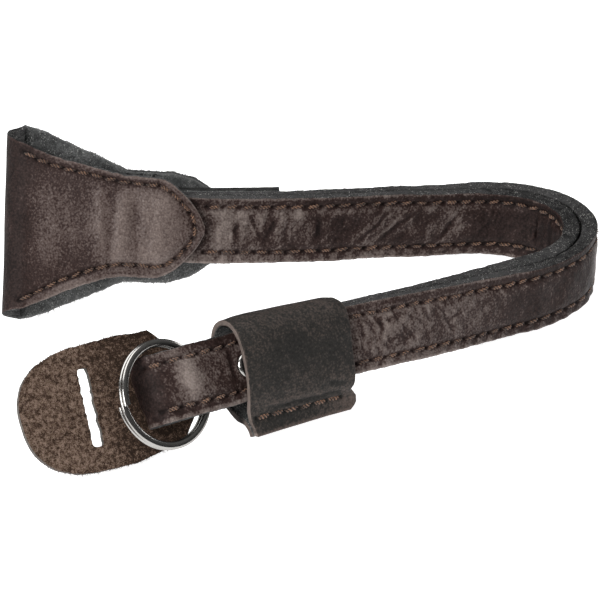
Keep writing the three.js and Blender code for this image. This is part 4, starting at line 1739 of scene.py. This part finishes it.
@dataclass
class Keeper(LeatherPiece):
    """Leather strip wrapped round the near arm, its two ends sewn together in a flange below."""

    name: str = "keeper_leather"
    node: str = "keeper"
    slot: str = "keeper_leather"
    wall: float = 1.8
    column: float = 0.45
    rounding: float = 0.35
    edge_rough: float = 0.07
    seed: int = 53
    grain: Side = Side.UNDER
    start: float = 217.2
    end: float = 243.6
    creases: tuple[Crease, ...] = (
        Crease(((6.4, -10.0), (6.1, 0.0), (5.6, 10.0)), 0.4, 0.6),
        Crease(((8.6, -11.0), (9.4, -6.0)), 0.12, 0.5),
    )
    patches: tuple[Patch, ...] = (
        Patch(20.0, 8.0, 4.0, 3.0, 0.15, 0.1),
        Patch(24.0, -6.0, 6.0, 5.0, -0.15, 0.0),
        Patch(17.0, 2.0, 6.0, 12.0, 0.0, -0.25),
        Patch(28.0, 0.0, 4.5, 16.0, 0.0, 0.2),
        Patch(7.5, 0.0, 2.6, 16.0, 0.0, 0.15),
        Patch(2.6, -11.5, 2.4, 4.0, 0.35, 0.9),
        Patch(2.4, 3.0, 1.6, 9.0, 0.0, -0.3),
    )

    ROWS = 59
    SEWN_AROUND = (3.9, 4.2, 4.4)
    SEWN_INSET = (1.8, 2.6)
    PITCH = 3.9
    GROOVE = 0.4
    EDGE_WAVE = Wave(0.12, (6.0, 1.0))
    FLANGE_MORE = 1.4
    FLANGE_AT = 2.6
    FLANGE_HALF = 2.5
    FLANGE_POWER = 4
    WAIST = 0.5
    WAIST_AT = 6.3
    WAIST_LONG = 1.1
    CORNER = 0.6
    CORNER_LONG = 1.0
    TRIM = 1.4
    TRIM_LONG = 3.5
    THIN = 0.3
    THIN_SPAN = (0.86, 1.0)
    SLEEVE_SPAN = (5.0, 9.0)
    TUCK = 0.5
    TUCK_LONG = 0.07
    TUCK_SPAN = (4.0, 8.0)
    WAVES = (Wave(0.14, (7.0, 8.0)), Wave(0.04, (2.0, 2.4), 1))
    RIM_PAINTED_HIGHLIGHT = 0.6
    RIM_INSET = (0.5, 0.1)
    HEM_TONE = 1.1
    HEM_SPAN = (1.1, 0.3)
    MOUTH_PAINTED_SHADE = -1.2
    BACK_SPAN = (36.0, 44.0)
    BACK_INSET = (0.8, 0.2)
    MOTTLES = (Wave(0.25, (3.4, 0.6), 4, slant=0.5), Wave(0.2, (6.0, 7.0), 5))

    def __post_init__(self) -> None:
        """Lay the section and the seam over the flange."""
        self.section = KeeperSection()
        self.full = float(self.section.marks[-1])
        self.half = (self.end - self.start) / 2
        sewn_up = (self.half - self.SEWN_INSET[0], 0.0, self.SEWN_INSET[1] - self.half)
        self.seams = [Seam(np.stack([self.SEWN_AROUND, sewn_up], axis=1), self.PITCH, self.GROOVE)]

    def _from_end(self, length: Array) -> Array:
        """Length round the section from the nearer end of the strip."""
        return np.minimum(length, self.full - length)

    def columns(self) -> Array:
        """Lengths round the section."""
        return steps_between(0.0, self.full, self.column)

    def rows(self) -> Array:
        """Even rows along the strap."""
        return np.linspace(-1.0, 1.0, self.ROWS)

    def outline(self, length: Array) -> Pair:
        """Nearly straight ends, a little longer at the flange."""
        wave = self.EDGE_WAVE.edge(length, self.seed)
        near = self._from_end(length)
        reach = (near - self.FLANGE_AT) / self.FLANGE_HALF
        flange = self.FLANGE_MORE * np.exp(-(reach**self.FLANGE_POWER))
        flange = flange - self.WAIST * bump(near, self.WAIST_AT, self.WAIST_LONG)
        flange = flange - self.CORNER * bump(near, 0.0, self.CORNER_LONG)
        trim = self.TRIM * bump(near, 0.0, self.TRIM_LONG)
        return -self.half + wave - flange, self.half + wave - trim

    def bend(self, length: Array, up: Array, through: Array) -> Array:
        """Wrap the strip round the near arm."""
        share = up / (self.end - self.start) + 0.5
        sleeve = ease(*self.SLEEVE_SPAN, self._from_end(length))
        thin = 1 - self.THIN * sleeve * ease(*self.THIN_SPAN, share)
        out, height = self.section.locate(length, share, through * thin)
        tuck = self.TUCK * bump(share, 0.0, self.TUCK_LONG) * ease(*self.TUCK_SPAN, height)
        return self.route.place(self.start + share * (self.end - self.start), out, height - tuck)

    def materials(self) -> Skins:
        """Charcoal brown grain, black flesh side and tan cut edge."""
        return self.finishes.keeper, self.finishes.flesh, self.finishes.tan

    def swell(self, length: Array, up: Array) -> Array:
        """Soft waves of a hand-sewn sleeve."""
        return self.uneven(self.WAVES, length, up)

    def shade(self, length: Array, up: Array) -> Array:
        """Painted highlight on the side rims, a paler end of the strip at the flange, mottling and fine
        strokes, and painted shade in the mouth behind.
        """
        rim_from, rim_to = (self.half - inset for inset in self.RIM_INSET)
        back_from, back_to = (self.half - inset for inset in self.BACK_INSET)
        # Painted highlight along the side rims.
        rim = self.RIM_PAINTED_HIGHLIGHT * ease(rim_from, rim_to, np.abs(up))
        hem = self.HEM_TONE * ease(*self.HEM_SPAN, length)
        # Painted shade in the mouth at the back of the loose end.
        back = self.MOUTH_PAINTED_SHADE * ease(*self.BACK_SPAN, length) * ease(back_from, back_to, up)
        return rim + hem + back + self.uneven(self.MOTTLES, length, up)


@dataclass
class LugTab(LeatherPiece):
    """Suede tab with a slot, between the ring and a camera."""

    name: str = "lug_tab_suede"
    node: str = "lug_tab"
    slot: str = "suede"
    wall: float = 1.2
    rounding: float = 0.35
    edge_rough: float = 0.12
    seed: int = 61
    half_width: float = 13.5
    shoulder_half: float = 12.4
    neck_half: float = 5.5
    neck_start: float = 236.5
    neck_end: float = 251.6
    shoulder: float = 257.4
    widest: float = 268.0
    round: float = 272.5
    end: float = 290.6
    slot_at: float = 274.7
    slot_up: float = 0.25
    slot_long: float = 16.9
    slot_wide: float = 2.4
    slot_turn: float = 5.0

    NECK_STEP = 0.7
    SLOPE_STEP = 0.4
    BODY_STEP = 0.6
    TIP_COLUMNS = 40
    TIP_ANGLE = 0.49 * math.pi
    TIP_SHARE = 0.9995
    ROWS = 43
    ROUNDING = 2.5
    RAGGED = Wave(0.15, (1.8, 1.0))
    LOW_REACH = 1.2
    STEP_BEFORE = 1.0
    WAVES = (Wave(0.06, (1.5, 1.5), 1), Wave(0.1, (5.0, 5.0)))
    END_TONE = 0.4
    END_SPAN = (270.0, 284.0)
    RING_PAINTED_SHADE = -1.4
    RING_SPAN = (276.0, 264.0)
    SLOT_DEPTH = 4
    SLOT_ROUND = 0.3
    SLOT_ROUND_STEPS = 2
    SLOT_CUTS = 24
    SLOT_RAGGED = Wave(0.36, (0.7, 2.0))

    def columns(self) -> Array:
        """Lengths along the route, closer together at the shoulder and the round end."""
        neck = steps_between(self.neck_start, self.neck_end, self.NECK_STEP)
        slope = steps_between(self.neck_end, self.shoulder, self.SLOPE_STEP)
        body = steps_between(self.shoulder, self.round, self.BODY_STEP)
        angle = np.linspace(0.0, self.TIP_ANGLE, self.TIP_COLUMNS)
        tip = self.round + (self.end - self.round) * np.sin(angle)
        return np.concatenate([neck[:-1], slope[:-1], body[:-1], tip])

    def rows(self) -> Array:
        """Even rows."""
        return np.linspace(-1.0, 1.0, self.ROWS)

    def outline(self, length: Array) -> Pair:
        """Narrow neck, sloping shoulders and round end."""
        ragged = self.RAGGED.edge(length, self.seed)
        lower = length + self.LOW_REACH * ease(self.widest, self.shoulder, length)
        return ragged - self._half(lower), ragged + self._half(length)

    def _half(self, length: Array) -> Array:
        """Half width of an even tab."""
        slope = np.clip((length - self.neck_end) / (self.shoulder - self.neck_end), 0.0, 1.0)
        body = self.neck_half + (self.shoulder_half - self.neck_half) * slope
        body = body + (self.half_width - self.shoulder_half) * ease(self.shoulder, self.widest, length)
        tip = np.clip((length - self.round) / (self.end - self.round), 0.0, self.TIP_SHARE)
        return body * (1 - tip**self.ROUNDING) ** (1 / self.ROUNDING)

    def bend(self, length: Array, up: Array, through: Array) -> Array:
        """Lie behind the strap's loop, a step further back than the neck."""
        neck_out = -STRAP_FACE - GAP - self.wall / 2
        stepped = ease(LOOP_OPENS - self.STEP_BEFORE, LOOP_OPEN - self.STEP_BEFORE, length)
        return self.route.place(length, neck_out - (LOOP_BACK_BULGE + GAP) * stepped + through, up)

    def materials(self) -> Skins:
        """Suede on both faces and a greyish cut edge."""
        return self.finishes.suede, self.finishes.suede, self.finishes.grey

    def swell(self, length: Array, up: Array) -> Array:
        """Uneven nap."""
        return self.uneven(self.WAVES, length, up)

    def shade(self, length: Array, up: Array) -> Array:
        """Paler towards the round end, and painted shade beside the ring."""
        # Painted shade beside the ring.
        return self.END_TONE * ease(*self.END_SPAN, length) + self.RING_PAINTED_SHADE * ease(*self.RING_SPAN, length)

    def cut_more(self, piece: Piece) -> None:
        """Cut the slot with a block that has rounded corners and ragged sides."""
        deselect_all()
        bpy.ops.mesh.primitive_cube_add(size=1.0, location=(self.slot_at * MM, self.slot_up * MM, 0.0))
        block = bpy.context.object
        size = (self.slot_wide * MM, self.slot_long * MM, self.SLOT_DEPTH * self.wall * MM)
        bpy.ops.transform.resize(value=size)
        bpy.ops.object.transform_apply(location=False, rotation=False, scale=True)
        block.rotation_euler = (0.0, 0.0, math.radians(self.slot_turn))
        width = self.SLOT_ROUND * self.slot_wide * MM
        apply_modifier(block, "BEVEL", width=width, segments=self.SLOT_ROUND_STEPS, limit_method="ANGLE")
        with all_selected():
            bpy.ops.mesh.subdivide(number_cuts=self.SLOT_CUTS)
        points = read_points(block)
        points[:, 0] += MM * self.SLOT_RAGGED.over(points[:, 1] / MM, points[:, 0] / MM, self.seed)
        write_points(block, points)
        apply_modifier(piece, "BOOLEAN", object=block, operation="DIFFERENCE", solver="EXACT")
        bpy.data.objects.remove(block)


@dataclass
class SplitRing:
    """Two turns of flat steel wire."""

    route: Route
    finishes: Finishes
    at: float = 261.0
    out: float = 2.35
    up: float = -1.9
    radius: float = 10.9
    radial: float = 1.7
    axial: float = 0.9
    pitch: float = 1.05
    turns: int = 2
    tilt_along: float = 15.0
    tilt_up: float = 3.0

    WIRE_SIDES = 16
    SQUARENESS = 0.75
    STEPS = 96
    SMOOTH_ANGLE = 40.0

    def build(self) -> Piece:
        """Turn the wire's section into two coils and set them in the strap's loop."""
        deselect_all()
        upright = (math.pi / 2, 0.0, 0.0)
        bpy.ops.mesh.primitive_circle_add(vertices=self.WIRE_SIDES, radius=0.5 * MM, rotation=upright)
        piece = bpy.context.object
        piece.name = piece.data.name = "split_ring_wire"
        bpy.ops.transform.resize(value=(self.radial, 1.0, self.axial))
        bpy.ops.object.transform_apply(location=True, rotation=True, scale=True)
        points = read_points(piece)
        half = self.radial / 2 * MM
        squared = half * (np.abs(points[:, 0]) / half) ** self.SQUARENESS
        points[:, 0] = self.radius * MM + np.sign(points[:, 0]) * squared
        points[:, 2] -= self.pitch * self.turns / 2 * MM
        write_points(piece, points)
        apply_modifier(
            piece, "SCREW", angle=2 * math.pi, iterations=self.turns, steps=self.STEPS,
            render_steps=self.STEPS, screw_offset=self.pitch * MM,
        )
        activate(piece)
        with all_selected():
            bpy.ops.mesh.fill_holes(sides=0)
        leaned = Matrix.Rotation(-math.radians(self.tilt_up), 4, "X")
        turned = Matrix.Rotation(math.radians(self.tilt_along), 4, "Y")
        piece.data.transform(self.route.basis(self.at, self.out, self.up) @ leaned @ turned)
        piece.data.materials.append(self.finishes.steel)
        close_up(piece, self.SMOOTH_ANGLE)
        settle(piece, ("split_ring",))
        return piece


@dataclass
class Rivet:
    """Domed steel cap with a post and a flat tail."""

    route: Route
    finishes: Finishes
    at: float = 241.0
    up: float = -0.3
    cap: float = 2.75
    rim: float = 0.4
    dome: float = 1.2
    post: float = 1.4
    tail: float = 2.4
    tail_thick: float = 0.6

    SIDES = 40
    DOME_STEPS = 9
    DOME_ANGLE = 0.47 * math.pi
    SMOOTH_ANGLE = 35.0

    def _stages(self) -> list[Spot]:
        """Radius and depth of each ring, from the tail to the top of the cap.

        Returns:
            One pair of sizes for each ring.
        """
        under = -STRAP_FACE - GAP
        behind = STRAP_FACE + GAP + LugTab.wall + GAP
        top = under - self.rim
        tail = [(self.tail, behind + self.tail_thick), (self.tail, behind)]
        post = [(self.post, behind), (self.post, under)]
        cap = [(self.cap, under), (self.cap, top)]
        angles = np.linspace(0.0, self.DOME_ANGLE, self.DOME_STEPS)[1:]
        height = self.dome - self.rim
        dome = [(self.cap * math.cos(angle), top - height * math.sin(angle)) for angle in angles]
        return tail + post + cap + dome

    def build(self) -> Piece:
        """Grow the rivet from a disc, ring by ring."""
        stages = self._stages()
        radius, depth = stages[0]
        deselect_all()
        bpy.ops.mesh.primitive_circle_add(
            vertices=self.SIDES, radius=radius * MM, fill_type="NGON", location=(0.0, 0.0, depth * MM)
        )
        piece = bpy.context.object
        piece.name = piece.data.name = "rivet_steel"
        bpy.ops.object.transform_apply(location=True, rotation=False, scale=False)
        bpy.ops.object.mode_set(mode="EDIT")
        bpy.ops.mesh.select_all(action="SELECT")
        for (last, top), (following, next_top) in zip(stages[:-1], stages[1:]):
            rise = (0.0, 0.0, (next_top - top) * MM)
            wider = (following / last, following / last, 1.0)
            bpy.ops.mesh.extrude_region_move(TRANSFORM_OT_translate={"value": rise})
            bpy.ops.transform.resize(value=wider, center_override=(0.0, 0.0, next_top * MM))
        bpy.ops.object.mode_set(mode="OBJECT")
        piece.data.transform(self.route.basis(self.at, 0.0, self.up))
        piece.data.materials.append(self.finishes.steel)
        close_up(piece, self.SMOOTH_ANGLE)
        settle(piece, ("rivet",))
        return piece


@dataclass
class Sewing:
    """Stitches of twisted thread, modelled once and copied along the seams."""

    finishes: Finishes
    long: float = 2.8
    ply: float = 0.215
    twist: float = 1.9
    lift: float = 0.15

    PLIES = 2
    SIDES = 6
    CUTS = 11
    LONG_EDGE = 0.5
    APART = 0.9
    TAPER = 1.96
    TAPER_POWER = 4
    SLIMMEST = 0.06
    DIP = 3.04
    PLY_GROOVE_PAINTED_SHADE = -0.2
    PLY_CREST_PAINTED_HIGHLIGHT = 0.3
    OUTER_SPAN = (0.9, 1.7)
    ABOVE = 0.5
    TILT = (6.0, 6.0)
    SIZE = (0.98, 0.08)
    LOOSE = (0.0, 0.06)

    def _model(self) -> Piece:
        """Twist plies into one stitch that dips at both ends.

        Returns:
            The stitch along X at the origin.
        """
        plies = []
        for k in range(self.PLIES):
            deselect_all()
            lying = (0.0, math.pi / 2, 0.0)
            bpy.ops.mesh.primitive_cylinder_add(
                vertices=self.SIDES, radius=self.ply * MM, depth=self.long * MM, rotation=lying
            )
            ply = bpy.context.object
            bpy.ops.object.transform_apply(location=True, rotation=True, scale=True)
            self._cut_long_edges(ply)
            points = read_points(ply) / MM
            share = points[:, 0] / self.long
            angle = 2 * math.pi * (self.twist * share + k / self.PLIES)
            slim = np.sqrt(np.clip(1 - (self.TAPER * share) ** self.TAPER_POWER, self.SLIMMEST, 1.0))
            points[:, 1] = slim * (points[:, 1] + self.APART * self.ply * np.cos(angle))
            points[:, 2] = slim * (points[:, 2] + self.APART * self.ply * np.sin(angle))
            reach = np.hypot(points[:, 1], points[:, 2]) / self.ply
            # Painted shade in the grooves between the plies and a painted highlight on their crests.
            mark_tone(ply, self.PLY_GROOVE_PAINTED_SHADE + self.PLY_CREST_PAINTED_HIGHLIGHT * ease(*self.OUTER_SPAN, reach))
            points[:, 2] += self.lift - self.DIP * np.abs(share) ** 3
            write_points(ply, points * MM)
            plies.append(ply)
        stitch = join_pieces(plies, "stitch")
        bpy.ops.object.shade_smooth()
        stitch.data.materials.append(self.finishes.thread)
        return stitch

    def _cut_long_edges(self, ply: Piece) -> None:
        """Cut a ply across, so that it can bend."""
        corners = read_points(ply)
        bpy.ops.object.mode_set(mode="EDIT")
        bpy.context.tool_settings.mesh_select_mode = (False, True, False)
        bpy.ops.mesh.select_all(action="DESELECT")
        bpy.ops.object.mode_set(mode="OBJECT")
        for edge in ply.data.edges:
            first, second = (corners[k] for k in edge.vertices)
            edge.select = abs(first[0] - second[0]) > self.LONG_EDGE * MM
        bpy.ops.object.mode_set(mode="EDIT")
        bpy.ops.mesh.subdivide(number_cuts=self.CUTS)
        bpy.ops.object.mode_set(mode="OBJECT")
        bpy.context.tool_settings.mesh_select_mode = (True, False, False)

    def _places(self, owner: LeatherPiece, seam: Seam, rng: np.random.Generator) -> list[Matrix]:
        """Where each stitch of a seam lies, on the grain side of its piece."""
        here = owner.surface(seam.stitches)
        along = unit(owner.surface(seam.heads) - here)
        normal = unit(owner.surface(seam.stitches, self.ABOVE) - here)
        across = unit(np.cross(normal, along))
        normal = np.cross(along, across)
        places = []
        for k, point in enumerate(here):
            tilt = math.radians(float(rng.normal(*self.TILT)))
            tilted = along[k] * math.cos(tilt) + across[k] * math.sin(tilt)
            matrix = Matrix.Identity(4)
            for column, axis in enumerate((tilted, np.cross(normal[k], tilted), normal[k])):
                matrix.col[column][:3] = axis * float(rng.normal(*self.SIZE))
            matrix.col[3][:3] = (point + normal[k] * float(rng.normal(*self.LOOSE))) * MM
            places.append(matrix)
        return places

    def sew(self, owner: LeatherPiece, name: str, seed: int) -> Piece:
        """Lay the stitches of a piece's seams.

        Args:
            owner: The piece that the seams are in.
            name: Name of the stitches' object.
            seed: Seed of the small differences between stitches.

        Returns:
            One object with all the stitches.
        """
        rng = np.random.default_rng(seed)
        places: list[Matrix] = []
        for seam in owner.seams:
            places += self._places(owner, seam, rng)
        piece = copy_along(self._model(), places, name)
        settle(piece)
        return piece


@dataclass
class Fibres:
    """Loose fibres that stand out of the cut edges."""

    material: Material
    thick: float = 0.055
    long: float = 0.17
    longest: float = 1.2

    SIDES = 3
    TIP = 0.3
    CURL = 0.25
    SCATTER = 0.55
    LENGTH_SHAPE = 2.2
    SHORTEST = 0.12
    DROOP = -0.3
    FLOOR = 0.05

    def _model(self) -> Piece:
        """One tapered fibre along Z, 1 mm long, bent a little."""
        deselect_all()
        root = self.thick * MM
        bpy.ops.mesh.primitive_cone_add(
            vertices=self.SIDES, radius1=root, radius2=self.TIP * root, depth=MM, location=(0.0, 0.0, MM / 2)
        )
        fibre = bpy.context.object
        bpy.ops.object.transform_apply(location=True, rotation=False, scale=False)
        with all_selected():
            bpy.ops.mesh.subdivide(number_cuts=1)
        points = read_points(fibre)
        points[:, 0] += self.CURL * points[:, 2] ** 2 / MM
        write_points(fibre, points)
        fibre.data.materials.append(self.material)
        return fibre

    def grow(self, roots: Array, outward: Array, name: str, seed: int) -> Piece:
        """Stand fibres on roots, clear of the floor.

        Args:
            roots: Points in millimetres, as rows.
            outward: Direction of each fibre.
            name: Name of the joined fibres.
            seed: Seed of their lengths and lean.

        Returns:
            One object with all the fibres.
        """
        rng = np.random.default_rng(seed)
        places = []
        for root, way in zip(roots, unit(outward + rng.normal(0.0, self.SCATTER, outward.shape))):
            turn = Vector(way).to_track_quat("Z", "X").to_matrix().to_4x4()
            length = float(np.clip(rng.gamma(self.LENGTH_SHAPE, self.long), self.SHORTEST, self.longest))
            spin = Matrix.Rotation(float(rng.uniform(0, 2 * math.pi)), 4, "Z")
            if root[2] + min(way[2], self.DROOP) * length < self.FLOOR:
                continue
            size = Matrix.Diagonal((1.0, 1.0, length, 1.0))
            places.append(Matrix.Translation(Vector(root * MM)) @ turn @ spin @ size)
        return copy_along(self._model(), places, name)


@dataclass(frozen=True)
class Fringe:
    """Fibres along one cut edge of a leather piece, between two lengths along its path."""

    fibres: Fibres
    piece: LeatherPiece
    start: float
    end: float
    count: int
    upper: bool

    ROOT_SEED = 70
    FIBRE_SEED = 90
    CORNER_FROM = 0.3
    CORNER_INSET = 0.3
    INSET = 0.08

    def _roots(self, seed: int) -> Pair:
        """Roots of the fibres.

        Args:
            seed: Seed of their places.

        Returns:
            Points in millimetres, and directions that point out of the edge.
        """
        piece = self.piece
        rng = np.random.default_rng(seed)
        length = rng.uniform(self.start, self.end, self.count)
        low, high = piece.outline(length)
        edge, sign = (high, 1.0) if self.upper else (low, -1.0)
        through = rng.uniform(-0.5, 0.5, self.count) * piece.wall
        inset = np.where(np.abs(through) > self.CORNER_FROM * piece.wall, self.CORNER_INSET, self.INSET)
        root = piece.bend(length, edge - sign * inset, through)
        return root, unit(piece.bend(length, edge + sign, through) - root)

    def build(self, number: int) -> Piece:
        """Grow the fringe.

        Args:
            number: Number of the fringe, which its seeds come from.

        Returns:
            One object with all the fibres.
        """
        roots, outward = self._roots(self.ROOT_SEED + number)
        name = f"{self.piece.node}_fibres_{'upper' if self.upper else 'lower'}"
        fringe = self.fibres.grow(roots, outward, name, self.FIBRE_SEED + number)
        settle(fringe)
        return fringe


@dataclass(frozen=True)
class Lamp:
    """A soft square light: its place and size in metres, and its power in watts."""

    name: str
    place: Triple
    size: float
    power: float

    def hang(self) -> None:
        """Hang the light, facing the strap."""
        deselect_all()
        bpy.ops.object.light_add(type="AREA", location=self.place)
        light = bpy.context.object
        light.name = self.name
        light.data.size = self.size
        light.data.energy = self.power
        light.rotation_euler = (-Vector(self.place)).to_track_quat("-Z", "Y").to_euler()


@dataclass
class Studio:
    """Pale floor, soft lights and the camera at the photograph's angle."""

    target: Triple = (-0.3, 26.276, 0.0)
    elevation: float = 29.5
    distance: float = 1150.0
    lens: float = 310.5
    floor_half: float = 3.0
    lamps: tuple[Lamp, ...] = (
        Lamp("top", (-0.3, 0.1, 1.1), 1.2, 15.0),
        Lamp("key", (-0.45, -0.85, 0.55), 0.5, 10.0),
        Lamp("right", (0.75, 0.45, 0.25), 0.3, 1.5),
    )

    FLOOR_CUTS = 4
    FLOOR_COLOUR = (0.6, 0.6, 0.6)
    FLOOR_ROUGH = 0.8
    FLOOR_SHINE = 0.1
    WHITE = (1.0, 1.0, 1.0)
    GLOW = 0.95
    ROOM_STOPS = ((0.0, (0.03, 0.03, 0.031, 1.0)), (0.7, (1.0, 1.0, 1.0, 1.0)))
    ROOM_STRENGTH = 0.2
    SENSOR = 36.0
    CLIP = (0.05, 20.0)

    def build(self) -> None:
        """Make the floor, the room's light, the lamps and the camera."""
        self._floor()
        self._room()
        for lamp in self.lamps:
            lamp.hang()
        self._camera()

    def _floor(self) -> None:
        """Lay a plain pale floor."""
        deselect_all()
        bpy.ops.mesh.primitive_grid_add(
            x_subdivisions=self.FLOOR_CUTS, y_subdivisions=self.FLOOR_CUTS, size=2 * self.floor_half
        )
        floor = bpy.context.object
        floor.name = "floor"
        shader = Shader("pale_floor")
        shader.set(Base_Color=self.FLOOR_COLOUR, Roughness=self.FLOOR_ROUGH)
        shader.set(Specular_IOR_Level=self.FLOOR_SHINE)
        shader.set(Emission_Color=self.WHITE, Emission_Strength=self.GLOW)
        floor.data.materials.append(shader.material)

    def _room(self) -> None:
        """Light the room evenly, brighter overhead."""
        world = bpy.data.worlds.new("studio")
        world.use_nodes = True
        nodes = world.node_tree.nodes
        links = world.node_tree.links
        place = nodes.new("ShaderNodeTexCoord")
        split = nodes.new("ShaderNodeSeparateXYZ")
        ramp = nodes.new("ShaderNodeValToRGB")
        links.new(place.outputs["Generated"], split.inputs[0])
        links.new(split.outputs["Z"], ramp.inputs["Fac"])
        for stop, (position, colour) in zip(ramp.color_ramp.elements, self.ROOM_STOPS):
            stop.position = position
            stop.color = colour
        links.new(ramp.outputs["Color"], nodes["Background"].inputs["Color"])
        nodes["Background"].inputs["Strength"].default_value = self.ROOM_STRENGTH
        bpy.context.scene.world = world

    def _camera(self) -> None:
        """Set the camera at the photograph's angle over the floor."""
        angle = math.radians(self.elevation)
        target = Vector(self.target) * MM
        back = Vector((0.0, -math.cos(angle), math.sin(angle)))
        bpy.ops.object.camera_add(location=target + back * self.distance * MM)
        camera = bpy.context.object
        camera.name = "camera"
        camera.rotation_euler = (math.pi / 2 - angle, 0.0, 0.0)
        camera.data.sensor_width = self.SENSOR
        camera.data.lens = self.lens
        camera.data.clip_start, camera.data.clip_end = self.CLIP
        bpy.context.scene.camera = camera
        bpy.context.scene.view_settings.view_transform = "Standard"


# Stretches of the layers' cut edges that have loose fibres, and the bare ends of the other frayed edges
INNER_FRAYED = (46.0, 216.0)
OUTER_FRAYED = (62.0, 216.0)
OUTER_FRAYED_BELOW = (62.0, 262.0)
TIP_BARE = 2.0
ROUND_BARE = 0.5


def main() -> None:
    """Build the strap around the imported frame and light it."""
    logging.basicConfig(level=logging.INFO, format="%(name)s: %(message)s")
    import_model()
    Studio().build()
    route = Route()
    finishes = Finishes()
    end_tab = EndTab(route, finishes)
    tongue = Tongue(route, finishes)
    inner = InnerLayer(route, finishes)
    outer = OuterLayer(route, finishes)
    keeper = Keeper(route, finishes)
    tab = LugTab(route, finishes)
    for piece in (end_tab, tongue, inner, outer, keeper, tab):
        piece.build()
    SplitRing(route, finishes).build()
    Rivet(route, finishes).build()
    thread = Sewing(finishes)
    thick_thread = Sewing(finishes, long=3.1, ply=0.32)
    thread.sew(end_tab, "end_stitches", 1)
    thread.sew(inner, "inner_stitches", 2)
    thread.sew(outer, "outer_stitches", 3)
    thick_thread.sew(keeper, "keeper_stitches", 4)
    thread.sew(tongue, "tongue_stitches", 5)
    flesh = Fibres(finishes.flesh, thick=0.06, long=0.24, longest=1.5)
    cut = Fibres(finishes.edge)
    nap = Fibres(finishes.suede, long=0.2)
    back_wall = (end_tab.fold_end, end_tab.path.end - TIP_BARE)
    round_end = (tab.shoulder, tab.end - ROUND_BARE)
    fringes = (
        Fringe(flesh, end_tab, *back_wall, count=700, upper=True),
        Fringe(flesh, end_tab, *back_wall, count=520, upper=False),
        Fringe(cut, inner, *INNER_FRAYED, count=420, upper=True),
        Fringe(cut, outer, *OUTER_FRAYED, count=420, upper=True),
        Fringe(cut, outer, *OUTER_FRAYED_BELOW, count=260, upper=False),
        Fringe(cut, inner, *INNER_FRAYED, count=260, upper=False),
        Fringe(nap, tab, *round_end, count=420, upper=True),
        Fringe(nap, tab, *round_end, count=420, upper=False),
    )
    for number, fringe in enumerate(fringes):
        fringe.build(number)
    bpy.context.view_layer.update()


if __name__ == "__main__":
    main()
